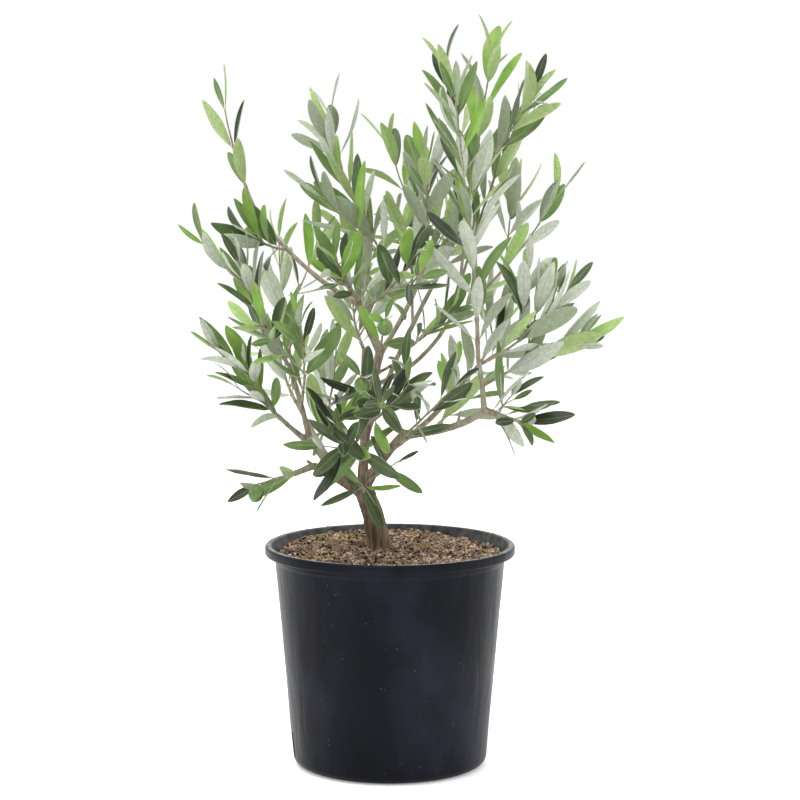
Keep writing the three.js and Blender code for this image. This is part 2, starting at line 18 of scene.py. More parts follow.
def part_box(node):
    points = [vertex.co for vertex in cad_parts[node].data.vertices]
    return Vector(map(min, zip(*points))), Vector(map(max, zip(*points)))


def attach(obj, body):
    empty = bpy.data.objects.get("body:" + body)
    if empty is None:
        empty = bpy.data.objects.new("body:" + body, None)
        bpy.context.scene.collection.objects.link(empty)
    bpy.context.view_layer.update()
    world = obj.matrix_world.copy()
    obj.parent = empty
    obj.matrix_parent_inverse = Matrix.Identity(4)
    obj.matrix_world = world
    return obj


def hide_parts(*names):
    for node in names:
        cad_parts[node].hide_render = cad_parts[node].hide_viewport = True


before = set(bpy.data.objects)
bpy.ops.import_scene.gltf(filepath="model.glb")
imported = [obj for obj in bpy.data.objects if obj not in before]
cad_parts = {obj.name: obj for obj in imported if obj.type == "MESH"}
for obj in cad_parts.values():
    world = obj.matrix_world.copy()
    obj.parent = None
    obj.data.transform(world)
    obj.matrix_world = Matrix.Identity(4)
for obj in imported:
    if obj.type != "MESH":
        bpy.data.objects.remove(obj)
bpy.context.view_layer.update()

bl_info = {
    "name": "Potted Olive Tree",
    "version": (1, 0, 0),
    "blender": (4, 5, 0),
    "location": "View3D > Sidebar > Olive Tree",
    "description": "Builds a young olive tree in a nursery pot, with bark, leaves, fruit and soil",
    "category": "Add Mesh",
}

MM = 0.001
UP = np.array([0.0, 0.0, 1.0])

# ---- The tree's own sizes, in millimetres and degrees ---------------------------------------

# Every run of draws starts at its own seed: so many times SEED, and a step on for each spray.
SEED = 2718
SPRAY_STEP, SHOOT_STEP, LEAF_STEP = 101, 977, 613
LEAF_TIMES, CRUMB_TIMES, FIBRE_TIMES = 7, 3, 5

TRUNK = {"foot": (-10, 4, 195), "tip": (-28, 0, 272), "bow": (8, 0, 4), "radii": (10.2, 9.8)}
TRUNK_FLARE = {"extra": 4.5, "share": 0.32, "rounded": 0.16, "drawn_in": 0.8}


class Bough(NamedTuple):
    """A limb: what it grows on and how far along, its tip, how far its middle is drawn aside."""

    name: str
    on: str
    at: float
    tip: tuple
    bow: tuple
    radii: tuple


BOUGHS = (
    Bough("left_bough", "trunk", 0.8, (-73, -12, 291), (-1, 0, 6), (5.2, 3.8)),
    Bough("left_riser", "left_bough", 0.74, (-81, -20, 318), (8, 0, 3), (3.4, 3)),
    Bough("far_left_limb", "left_riser", 1, (-102, -38, 339), (1, 1, -2), (2.7, 2.2)),
    Bough("upper_left_limb", "left_riser", 0.82, (-94, -34, 388), (2, -4, 0), (2.8, 2.3)),
    Bough("right_bough_low", "trunk", 0.94, (13, -20, 322), (-2, 0, 3), (5, 4)),
    Bough("right_bough_high", "right_bough_low", 1, (89, -84, 353), (8, 0, -10), (3.8, 3)),
    Bough("front_riser", "right_bough_high", 0.97, (81, -102, 402), (2, -2, 0), (2.6, 2.2)),
    Bough("middle_limb", "trunk", 0.93, (-9, 6, 400), (-9, 1, 0), (4.8, 4)),
    Bough("middle_left_fork", "middle_limb", 1, (-30, -6, 449), (-5, 0, 0), (3.8, 3)),
    Bough("left_whip", "middle_left_fork", 0.9, (-124, 18, 524), (0, -6, -16), (2.8, 1.8)),
    Bough("middle_right_fork", "middle_limb", 0.96, (36, 26, 491), (12, 0, 4), (2.6, 2)),
    Bough("second_stem", "middle_limb", 0.34, (47, 66, 467), (-12, 10, -8), (2.7, 2.1)),
    Bough("dark_branch", "middle_limb", 0.74, (66, 60, 440), (14, 4, -22), (2.3, 1.8)),
    Bough("back_limb", "middle_limb", 0.5, (-26, 78, 394), (-4, 6, -14), (2.8, 2)),
    Bough("back_left_limb", "left_bough", 0.5, (-92, 56, 344), (4, 8, -10), (2.8, 2)),
    Bough("back_right_limb", "right_bough_low", 0.72, (74, 62, 366), (0, 10, -14), (3, 2.1)),
)


class Spray(NamedTuple):
    """A mass of foliage: its stem, as a limb's, then its leaves, side twigs, seed and tint; the shade
    and light tints are painted shade and painted light.
    """

    name: str
    on: str
    at: float
    tip: tuple
    bow: tuple
    pairs: int
    first: float
    leaf: float
    spread: float
    lift: float
    twigs: int
    seed: int
    tint_and_shade: str


# The last column is the tint: shade and light deal darker and lighter leaves by the spray's place in
# the crown, as painted shade and painted light.
SPRAYS = (
    Spray("low_left_spray", "left_bough", 1, (-125, -43, 278), (3, 4, -3),
          3, 0.3, 46, 54, -0.1, 0, 7, "shade"),
    Spray("far_left_spray", "far_left_limb", 1, (-132, -88, 398), (-4, 0, -8),
          7, 0.05, 56, 34, 0, 2, 7, "grey"),
    Spray("upper_left_spray", "upper_left_limb", 1, (-138, -84, 490), (-8, 0, -2),
          7, 0.1, 54, 34, 0.1, 2, 2, "grey"),
    Spray("left_back_spray", "upper_left_limb", 0.7, (-108, 64, 504), (-8, 20, 2),
          5, 0.3, 54, 40, 0.3, 1, 1, "light"),
    Spray("lit_twig", "left_riser", 0.96, (-36, -80, 352), (4, -4, -4),
          5, 0.22, 48, 52, 0.1, 1, 5, "middle"),
    Spray("whip_tip", "left_whip", 1, (-158, 40, 628), (-6, 0, -6),
          3, 0.3, 60, 32, 0.1, 0, 3, "middle"),
    Spray("whip_spray", "left_whip", 0.7, (-122, -32, 508), (0, -6, -6),
          3, 0.3, 64, 46, 0.3, 1, 2, "light"),
    Spray("upper_middle_spray", "middle_right_fork", 0.55, (-62, 44, 600), (-4, 0, -8),
          8, 0.3, 60, 42, 0.2, 2, 7, "light"),
    Spray("inner_front_spray", "middle_left_fork", 1, (-50, -74, 492), (2, -6, -8),
          5, 0.22, 52, 46, 0.2, 1, 3, "middle"),
    Spray("inner_back_spray", "middle_left_fork", 0.86, (-16, 66, 513), (2, 8, -4),
          5, 0.22, 52, 46, 0.2, 1, 7, "light"),
    Spray("crossing_spray", "middle_left_fork", 0.8, (24, -104, 498), (4, -4, -10),
          6, 0.22, 56, 44, 0.1, 1, 2, "grey"),
    Spray("whorl_spray", "middle_right_fork", 0.82, (8, 108, 520), (4, 4, -8),
          5, 0.22, 52, 48, 0.2, 1, 2, "light"),
    Spray("middle_right_spray", "middle_right_fork", 1, (36, 48, 578), (0, -2, 0),
          5, 0.22, 60, 42, 0.2, 1, 5, "light"),
    Spray("second_stem_spray", "second_stem", 1, (72, 122, 518), (0, 4, -8),
          5, 0.22, 54, 44, 0.2, 1, 5, "light"),
    Spray("mid_right_spray", "second_stem", 0.52, (60, 4, 442), (4, 6, -6),
          5, 0.25, 50, 50, 0.3, 1, 2, "middle"),
    Spray("front_top_spray", "front_riser", 1, (50, -98, 668), (12, -8, 0),
          13, 0.06, 60, 38, 0, 1, 3, "grey"),
    Spray("back_top_spray", "dark_branch", 1, (98, 46, 680), (-4, 6, 0),
          8, 0.22, 66, 36, 0, 1, 6, "middle"),
    Spray("right_high_spray", "dark_branch", 0.94, (130, 84, 628), (-12, 8, 0),
          6, 0.4, 64, 28, 0.1, 0, 3, "light"),
    Spray("right_back_spray", "dark_branch", 0.86, (164, 112, 542), (10, 0, -12),
          5, 0.22, 58, 38, 0.3, 1, 1, "light"),
    Spray("right_upper_spray", "front_riser", 0.9, (166, -40, 460), (8, 4, -12),
          5, 0.22, 56, 34, 0.3, 1, 1, "middle"),
    Spray("right_tip_spray", "front_riser", 0.5, (176, -24, 410), (0, 8, 4),
          5, 0.22, 70, 40, 0.35, 1, 4, "middle"),
    Spray("right_low_spray", "right_bough_high", 1, (122, -110, 346), (4, 2, -3),
          4, 0.15, 54, 46, 0.1, 2, 4, "shade"),
    Spray("pale_spray", "right_bough_low", 0.8, (60, -124, 380), (-4, -8, -4),
          5, 0.22, 52, 52, 0.2, 1, 6, "shade"),
    Spray("right_inner_spray", "right_bough_high", 0.3, (84, 12, 360), (0, 10, 2),
          5, 0.22, 50, 50, 0.2, 1, 1, "middle"),
    Spray("foot_rosette", "trunk", 0.86, (-27, -30, 276), (0, 0, -3),
          3, 0.6, 46, 80, -0.3, 0, 3, "shade"),
    Spray("fork_twig", "trunk", 0.98, (7, -36, 298), (-2, -4, -2),
          2, 0.75, 38, 60, -0.1, 0, 2, "shade"),
    Spray("low_front_spray", "middle_limb", 0.26, (-44, -92, 324), (2, -8, -2),
          6, 0.2, 64, 58, 0, 1, 7, "shade"),
    Spray("mid_front_spray", "middle_limb", 0.46, (18, -118, 382), (0, -8, -8),
          5, 0.22, 54, 50, 0.1, 1, 7, "shade"),
    Spray("back_spray", "back_limb", 1, (-38, 132, 440), (-4, 10, -8),
          5, 0.15, 56, 46, 0.2, 2, 2, "middle"),
    Spray("back_left_spray", "back_left_limb", 1, (-112, 116, 396), (-4, 8, -8),
          5, 0.15, 58, 46, 0.2, 2, 3, "middle"),
    Spray("back_right_spray", "back_right_limb", 1, (112, 112, 416), (2, 8, -8),
          5, 0.15, 56, 46, 0.2, 2, 3, "middle"),
    Spray("back_high_spray", "second_stem", 0.7, (30, 130, 556), (-8, 14, -8),
          6, 0.22, 54, 44, 0.2, 2, 3, "light"),
    Spray("front_left_spray", "upper_left_limb", 0.5, (-80, -122, 436), (6, -10, -8),
          5, 0.22, 56, 46, 0.1, 1, 1, "middle"),
    Spray("inner_left_spray", "left_riser", 0.6, (-52, 36, 398), (6, 6, -4),
          5, 0.22, 52, 46, 0.2, 1, 7, "middle"),
    Spray("fork_sprig", "middle_limb", 0.95, (-4, -94, 438), (0, -4, -4),
          2, 0.4, 44, 50, 0.1, 0, 6, "middle"),
    Spray("front_sprig", "middle_limb", 0.64, (-26, -114, 388), (0, -6, -4),
          3, 0.3, 48, 60, 0.1, 0, 6, "middle"),
)
TWIG = {"share": 0.5, "share_spread": 0.15, "spread": 44, "first": 0.3, "last": 0.75,
        "alone_part": 0.4, "pair_spacing": 24, "bend": 0.1, "lift": 0.5, "leaves_from": 0.4}
SHOOT = {"above": 0.3, "reach": (10, 26), "spread": 38, "lift": 0.25, "bend": 0.12, "pairs": 2,
         "leaves_from": 0.5, "leaf_share": (0.34, 0.54)}
GOLDEN_ANGLE = 137.5
LEAF = {"width_share": 0.235, "width_spread": 0.25, "length_spread": 0.18, "tip_share": 0.7,
        "arch": 0.07, "arch_range": (-0.5, 1.1), "angle_spread": 0.25, "tip_spread": 0.55,
        "twist": 46, "off_bearing": 20, "last": 0.985}
BLADE_TESTS = (0.3, 0.45, 0.6, 0.8, 1.0)  # shares of its length where a blade must clear wood
BLADE_CLEAR = 0.8
WOOD_STEP = 1.5  # between the places that stand for a limb's wood

# Olives: the spray whose stem carries it, how far along, and the side it hangs to.
OLIVES = (
    ("low_left_spray", 0.98, (-0.2, -0.2, -0.9)),
    ("fork_sprig", 0.98, (0, -0.5, -0.4)),
    ("front_sprig", 0.98, (0.1, -0.5, -0.7)),
)
OLIVE_SUNK = 1.2

# Pruned stubs, cut off flat: the limb each stands on, how far along, its tip and its radii.
STUBS = (
    ("left_bough", 0.18, (-36, -5, 274), (2.6, 2)),
    ("left_bough", 0.96, (-79, -13, 296), (1.6, 1.3)),
    ("middle_limb", 0.82, (2, -4, 386), (1.8, 1.5)),
    ("right_bough_high", 0.05, (9, -22, 328), (2, 1.6)),
    ("right_bough_high", 0.62, (66, -62, 350), (1.5, 1.2)),
    ("middle_right_fork", 0.9, (42, 14, 498), (1.4, 1.2)),
)


# ---- What a user would change ----------------------------------------------------------------


def length(name, description, default, low=0.0, high=5.0):
    """A size in metres."""
    return FloatProperty(name=name, description=description, default=default, min=low, max=high,
                         subtype="DISTANCE", unit="LENGTH", precision=4)


def share(name, description, default, high=1.0):
    """A plain number from nothing upwards."""
    return FloatProperty(name=name, description=description, default=default, min=0.0, max=high)


def count(name, description, default):
    """A whole number."""
    return IntProperty(name=name, description=description, default=default, min=1, max=20000)


def colour(name, description, default):
    """A colour in linear red, green and blue."""
    return FloatVectorProperty(name=name, description=description, default=default, size=3,
                               min=0.0, max=1.0, subtype="COLOR")


class StageSettings(bpy.types.PropertyGroup):
    """The camera, the lights and the floor."""

    distance: length("Distance", "From the pot's axis to the camera", 2.5)
    height: length("Height", "Of the camera above the floor", 0.6502)
    aside: length("Aside", "Of the camera, to the right of the pot's axis", 0.0096)
    pitch: FloatProperty(name="Pitch", description="How far the camera looks down",
                         default=math.radians(6.79), subtype="ANGLE", unit="ROTATION")
    lens: FloatProperty(name="Lens", description="Focal length", default=118.8, min=10.0,
                        subtype="DISTANCE_CAMERA", unit="CAMERA")
    floor_size: length("Floor", "Side of the square floor", 12.0, high=40.0)
    sky_front: share("Sky in front", "Brightness of the surroundings before the tree", 0.74, high=5.0)
    sky_back: share("Sky behind", "Brightness of the surroundings behind the tree", 1.3, high=5.0)
    key: share("Key light", "Power of the soft light above, in watts", 26.0, high=500.0)
    back: share("Back light", "Power of the soft light behind, in watts", 34.0, high=500.0)
    side: share("Side lights", "Power of the left strip in watts; the right has twice that", 4.0,
                high=500.0)


class PotSettings(bpy.types.PropertyGroup):
    """The moulded pot."""

    height: length("Height", "From the floor to the top of the rim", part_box("pot")[1][2])
    rim_radius: length("Rim radius", "To the outside of the rolled rim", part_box("pot")[1][0])
    base_radius: length("Base radius", "Of the wall, carried down to the floor", 0.0926)
    taper: share("Taper", "Outward lean of the wall for each unit of height", 0.088)
    foot_radius: length("Foot radius", "Of the flat underside", 0.082)
    wall: length("Wall", "Thickness of the wall", 0.0022)
    lip_height: length("Lip height", "Of the rolled rim", 0.0095)
    waviness: length("Waviness", "How far the wall wanders from a true cone", 0.00045)
    colour: colour("Colour", "Charcoal plastic", (0.0048, 0.0054, 0.0095))


class SoilSettings(bpy.types.PropertyGroup):
    """The potting mix."""

    roughness: length("Roughness", "Height of the lumps in the surface", 0.0027)
    crumbs: count("Crumbs", "Loose crumbs on the surface", 9500)
    fibres: count("Fibres", "Loose fibres on the surface", 3400)
    dark: colour("Dark", "Peat", (0.026, 0.016, 0.012))
    light: colour("Light", "Dry coir", (0.62, 0.475, 0.360))
    moss: colour("Moss", "Yellow-green growth", (0.50, 0.37, 0.13))


class WoodSettings(bpy.types.PropertyGroup):
    """Trunk, boughs and twigs."""

    voxel: length("Grain", "Size of the faces of the bark", 0.00075, low=0.0004)
    relief: length("Relief", "Depth of the bark's ridges on the trunk", 0.00048)
    twig_foot: length("Twig foot", "Radius of a spray's stem where it starts", 0.00165)
    twig_tip: length("Twig tip", "Radius of a spray's stem at its end", 0.0006)
    old_bark: colour("Old bark", "Brown of the trunk", (0.135, 0.092, 0.060))
    bark: colour("Bark", "Grey-brown of the boughs", (0.195, 0.146, 0.108))
    pale_bark: colour("Pale bark", "Tan grey of the upper limbs", (0.265, 0.212, 0.155))
    young_bark: colour("Young bark", "Grey-green of this year's twigs", (0.300, 0.290, 0.210))


class LeafSettings(bpy.types.PropertyGroup):
    """The leaves."""

    room: length("Room", "Two leaves of one spray stay this far apart", 0.009)
    thickness: length("Thickness", "Of a blade at its midrib", 0.00048)
    stalk: length("Stalk", "Radius of a leaf's stalk", 0.00042)
    fold: FloatProperty(name="Fold", description="Mean rise of each half off the midrib",
                        default=math.radians(17), subtype="ANGLE", unit="ROTATION")
    shoots: share("Short shoots", "Share of the leaf pairs with a short shoot above them", 0.12)
    light_through: share("Light through", "Share of the light that passes a blade", 0.4)


class OliveSettings(bpy.types.PropertyGroup):
    """The fruit."""

    length: length("Length", "From stalk to tip", 0.0172)
    radius: length("Radius", "At the widest place", 0.0073)
    colour: colour("Colour", "Unripe green", (0.125, 0.205, 0.055))


# ---- Curves and the growth rule, in millimetres ----------------------------------------------


def random_from(seed):
    """A repeatable source of numbers from 0 to 1."""
    state = seed & 0xFFFFFFFF

    def draw():
        nonlocal state
        state = (state * 1664525 + 1013904223) & 0xFFFFFFFF
        return state / 4294967296

    return draw


def lerp(a, b, part):
    return a + (b - a) * part


def between(random, low, high):
    """A draw from low to high."""
    return lerp(low, high, random())


def either_way(random, size):
    """A draw from -size to size."""
    return (random() - 0.5) * 2 * size


def unit(vector):
    return vector / np.linalg.norm(vector)


def turned(vector, axis, degrees):
    """The vector turned about an axis of length one."""
    angle = math.radians(degrees)
    along = axis * (axis @ vector) * (1 - math.cos(angle))
    return vector * math.cos(angle) + np.cross(axis, vector) * math.sin(angle) + along


class Curve:
    """A gentle curve from foot to tip whose middle is drawn aside, read by share of its length."""

    DIVISIONS = 200

    def __init__(self, foot, tip, bow):
        self.foot = np.array(foot, float)
        self.tip = np.array(tip, float)
        self.middle = (self.foot + self.tip) / 2 + np.array(bow, float)
        self.steps = np.linspace(0, 1, self.DIVISIONS + 1)
        places = self.at_steps(self.steps)
        lengths = np.linalg.norm(np.diff(places, axis=0), axis=1)
        self.lengths = np.concatenate([[0], np.cumsum(lengths)])
        self.length = self.lengths[-1]

    def at_steps(self, t):
        t = np.asarray(t)[..., None]
        return (1 - t) ** 2 * self.foot + 2 * t * (1 - t) * self.middle + t * t * self.tip

    def step_of(self, along):
        return np.interp(np.asarray(along) * self.length, self.lengths, self.steps)

    def point(self, along):
        return self.at_steps(self.step_of(along))

    def tangent(self, along):
        t = self.step_of(along)[..., None]
        way = 2 * (1 - t) * (self.middle - self.foot) + 2 * t * (self.tip - self.middle)
        return way / np.linalg.norm(way, axis=-1, keepdims=True)


def outward(tangent, bearing, spread, lift):
    """The direction that leaves a stem at an angle, on one side of it, with a pull to the sky."""
    level = np.array([1.0, 0, 0]) if abs(tangent[2]) > 0.95 else UP
    side = turned(unit(np.cross(level, tangent)), tangent, bearing)
    angle = math.radians(spread)
    return unit(tangent * math.cos(angle) + side * math.sin(angle) + UP * lift)


class Stem(NamedTuple):
    """A curve that carries leaves."""

    curve: Curve
    pairs: int
    first: float


class Leaf(NamedTuple):
    """One blade: where it starts, its course, its width's course, its underside and its size."""

    root: np.ndarray
    way: np.ndarray
    across: np.ndarray
    normal: np.ndarray
    length: float
    width: float
    arch: float


def side_twigs(spray, stem, random):
    """Side twigs evenly up the stem, each turned on from the last."""
    twigs = []
    for i in range(spray.twigs):
        part = i / (spray.twigs - 1) if spray.twigs > 1 else TWIG["alone_part"]
        along = lerp(TWIG["first"], TWIG["last"], part)
        foot, tangent = stem.point(along), stem.tangent(along)
        bearing = i * GOLDEN_ANGLE + random() * 360
        way = outward(tangent, bearing, TWIG["spread"], TWIG["lift"])
        reach = stem.length * TWIG["share"] * (1 + either_way(random, TWIG["share_spread"]))
        curve = Curve(foot, foot + way * reach, -tangent * reach * TWIG["bend"])
        pairs = max(2, math.floor(reach / TWIG["pair_spacing"] + 0.5))
        twigs.append(Stem(curve, pairs, TWIG["leaves_from"]))
    return twigs


def leaves_on(stem, spray, random, scale=1.0):
    """Opposite pairs of leaves up a stem, each pair turned a quarter from the one below it."""
    leaves = []
    start = random() * 360
    for pair in range(stem.pairs):
        part = pair / (stem.pairs - 1) if stem.pairs > 1 else 1
        along = lerp(stem.first, LEAF["last"], part)
        root, tangent = stem.curve.point(along), stem.curve.tangent(along)
        shorter = lerp(1, LEAF["tip_share"], part**3) * scale
        for side in (0, 180):
            bearing = start + pair * 90 + side + either_way(random, LEAF["off_bearing"])
            closing = lerp(1, LEAF["tip_spread"], part)
            angle = spray.spread * closing * (1 + either_way(random, LEAF["angle_spread"]))
            way = outward(tangent, bearing, angle, spray.lift)
            vary = 1 + either_way(random, LEAF["length_spread"])
            size = spray.leaf * vary * shorter
            twist = either_way(random, LEAF["twist"])
            across = turned(unit(np.cross(way, tangent)), way, twist)
            width = size * LEAF["width_share"] * (1 + either_way(random, LEAF["width_spread"]))
            arch = size * LEAF["arch"] * between(random, *LEAF["arch_range"])
            leaves.append(Leaf(root, way, across, np.cross(way, across), size, width, arch))
    return leaves


def trunk_radius(along):
    """The trunk's radius: flared at its foot, and drawn in where the boughs leave it."""
    fade = np.maximum(0, 1 - np.asarray(along) / TRUNK_FLARE["share"]) ** 2
    over = np.maximum(0, (along - 1 + TRUNK_FLARE["rounded"]) / TRUNK_FLARE["rounded"])
    drawn_in = np.sqrt(1 - TRUNK_FLARE["drawn_in"] * over**2)
    return (lerp(*TRUNK["radii"], along) + TRUNK_FLARE["extra"] * fade) * drawn_in


class Limb(NamedTuple):
    """The trunk or a bough: its curve and its radius at any share of its length."""

    curve: Curve
    radius: object


@lru_cache(maxsize=1)
def limbs():
    """The trunk and the boughs by name."""
    made = {"trunk": Limb(Curve(TRUNK["foot"], TRUNK["tip"], TRUNK["bow"]), trunk_radius)}
    for bough in BOUGHS:
        curve = Curve(made[bough.on].curve.point(bough.at), bough.tip, bough.bow)
        made[bough.name] = Limb(curve, lambda along, ends=bough.radii: lerp(*ends, along))
    return made


def short_shoots(stems, random, part):
    """Short leafy shoots in the angles above a part of the leaf pairs."""
    shoots = []
    for stem in stems:
        for pair in range(stem.pairs):
            along = lerp(stem.first, LEAF["last"], (pair + SHOOT["above"]) / stem.pairs)
            bearing, reach, drawn = random() * 360, between(random, *SHOOT["reach"]), random()
            if drawn > part:
                continue
            foot, tangent = stem.curve.point(along), stem.curve.tangent(along)
            way = outward(tangent, bearing, SHOOT["spread"], SHOOT["lift"])
            curve = Curve(foot, foot + way * reach, -tangent * reach * SHOOT["bend"])
            shoots.append(Stem(curve, SHOOT["pairs"], SHOOT["leaves_from"]))
    return shoots


class Grown(NamedTuple):
    """A spray as it has grown: its stem, its twigs, its short shoots and its leaves."""

    spray: Spray
    stem: Stem
    twigs: list
    shoots: list
    leaves: list


def wood_tree():
    """Every limb's centre line as a search tree, and the radius there."""
    places, radii = [], []
    for limb in limbs().values():
        along = np.linspace(0, 1, max(8, int(limb.curve.length / WOOD_STEP)))
        places.extend(limb.curve.point(along))
        radii.extend(limb.radius(along))
    tree = KDTree(len(places))
    for number, place in enumerate(places):
        tree.insert(place, number)
    tree.balance()
    return tree, radii


def crosses_wood(leaf, tree, radii):
    """Whether a blade runs into a limb anywhere past its stalk."""
    for part in BLADE_TESTS:
        _, number, far = tree.find(leaf.root + leaf.way * leaf.length * part)
        if far < radii[number] + BLADE_CLEAR:
            return True
    return False


@lru_cache(maxsize=1)
def crown():
    """Every spray, grown by the rule and then on to its short shoots."""
    room = bpy.context.scene.olive_leaves.room / MM
    part = bpy.context.scene.olive_leaves.shoots
    tree, radii = wood_tree()
    grown = []
    for number, spray in enumerate(SPRAYS):
        random = random_from(SEED * spray.seed + number * SPRAY_STEP)
        foot = limbs()[spray.on].curve.point(spray.at)
        stem = Stem(Curve(foot, spray.tip, spray.bow), spray.pairs, spray.first)
        twigs = side_twigs(spray, stem.curve, random)
        wanted = [leaf for each in (stem, *twigs) for leaf in leaves_on(each, spray, random)]
        finer = random_from(SEED + number * SHOOT_STEP)
        shoots = short_shoots((stem, *twigs), finer, part)
        for shoot in shoots:
            wanted += leaves_on(shoot, spray, finer, between(finer, *SHOOT["leaf_share"]))
        kept, middles = [], []
        for leaf in wanted:
            middle = leaf.root + leaf.way * leaf.length / 2
            near = any(np.linalg.norm(middle - other) < room for other in middles)
            if near or crosses_wood(leaf, tree, radii):
                continue
            middles.append(middle)
            kept.append(leaf)
        grown.append(Grown(spray, stem, twigs, shoots, kept))
    return grown


# ---- Meshes from arrays ----------------------------------------------------------------------


class Shapes:
    """Collects vertices in millimetres and faces with a material each, and joins them."""

    def __init__(self):
        self.places = []
        self.faces = []
        self.slots = []
        self.total = 0

    def add(self, places, faces, slot=0):
        self.places.append(np.asarray(places, float))
        self.faces.extend([tuple(int(v) + self.total for v in face) for face in faces])
        self.slots.extend([slot] * len(faces) if np.isscalar(slot) else slot)
        self.total += len(places)

    def object(self, name, materials, sharp=None):
        """One object in metres, with smooth faces, and sharp edges over that angle in degrees."""
        mesh = bpy.data.meshes.new(name)
        mesh.from_pydata(np.concatenate(self.places) * MM, [], self.faces)
        for material in materials:
            mesh.materials.append(material)
        mesh.polygons.foreach_set("material_index", self.slots)
        finish_mesh(mesh, sharp)
        piece = bpy.data.objects.new(name, mesh)
        bpy.context.scene.collection.objects.link(piece)
        return piece


def finish_mesh(mesh, sharp):
    mesh.shade_smooth()
    if sharp is not None:
        mesh.set_sharp_from_angle(angle=math.radians(sharp))
    mesh.validate()
    mesh.update()


def evaluated(piece, name):
    """The object's mesh with its modifiers applied, under a name of its own."""
    graph = bpy.context.evaluated_depsgraph_get()
    mesh = bpy.data.meshes.new_from_object(piece.evaluated_get(graph), depsgraph=graph)
    piece.modifiers.clear()
    old = piece.data
    piece.data = mesh
    bpy.data.meshes.remove(old)
    mesh.name = name
    return mesh


def rings_on(places, radii, sides):
    """Rings round a line of places, carried along it without twisting."""
    tangents = np.gradient(places, axis=0)
    tangents /= np.linalg.norm(tangents, axis=1, keepdims=True)
    level = np.array([1.0, 0, 0]) if abs(tangents[0][0]) < 0.9 else np.array([0, 1.0, 0])
    normal = unit(np.cross(tangents[0], level))
    turns = np.arange(sides) / sides * 2 * math.pi
    rings = []
    for place, tangent, radius in zip(places, tangents, radii):
        normal = unit(normal - tangent * (normal @ tangent))
        other = np.cross(tangent, normal)
        spokes = np.cos(turns)[:, None] * normal + np.sin(turns)[:, None] * other
        rings.append(place + spokes * np.asarray(radius).reshape(-1, 1))
    return np.array(rings)


def ring_faces(rings, sides, first=0):
    """Quads from each ring of vertices to the next, where the first ring starts at that vertex."""
    faces = []
    for ring in range(rings - 1):
        low, high = first + ring * sides, first + (ring + 1) * sides
        for side in range(sides):
            after = (side + 1) % sides
            faces.append((low + side, low + after, high + after, high + side))
    return faces


def skin_faces(rings, sides):
    """Faces of a closed skin, whose vertices are one pole, its rings and the other pole."""
    last, pole = 1 + (rings - 1) * sides, 1 + rings * sides
    faces = [(0, 1 + (side + 1) % sides, 1 + side) for side in range(sides)]
    faces += ring_faces(rings, sides, 1)
    return faces + [(pole, last + side, last + (side + 1) % sides) for side in range(sides)]


def rod(shapes, places, radii, sides, slot=0):
    """A closed rod along a line of places."""
    rings = rings_on(np.asarray(places, float), radii, sides)
    faces = ring_faces(len(rings), sides)
    faces.append(tuple(range(sides))[::-1])
    faces.append(tuple(range((len(rings) - 1) * sides, len(rings) * sides)))
    shapes.add(rings.reshape(-1, 3), faces, slot)


def ball(shapes, centre, axes, rings, sides, slot=0, bump=None):
    """A closed ball on three half-axes, each a vector; bump gives its radius at each place."""
    places = []
    for ring in range(1, rings):
        polar = math.pi * ring / rings
        for side in range(sides):
            turn = 2 * math.pi * side / sides
            places.append((math.sin(polar) * math.cos(turn), math.sin(polar) * math.sin(turn),
                           -math.cos(polar)))
    places = np.array([(0, 0, -1.0), *places, (0, 0, 1.0)])
    if bump is not None:
        places = places * bump(places)[:, None]
    shapes.add(np.asarray(centre) + places @ np.asarray(axes), skin_faces(rings - 1, sides), slot)


def settle(piece, slot, *nodes):
    """The piece rides on the root and stands for the nodes; its slot is not used."""
    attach(piece, "root")
    if nodes:
        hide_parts(*nodes)


# ---- Materials -------------------------------------------------------------------------------


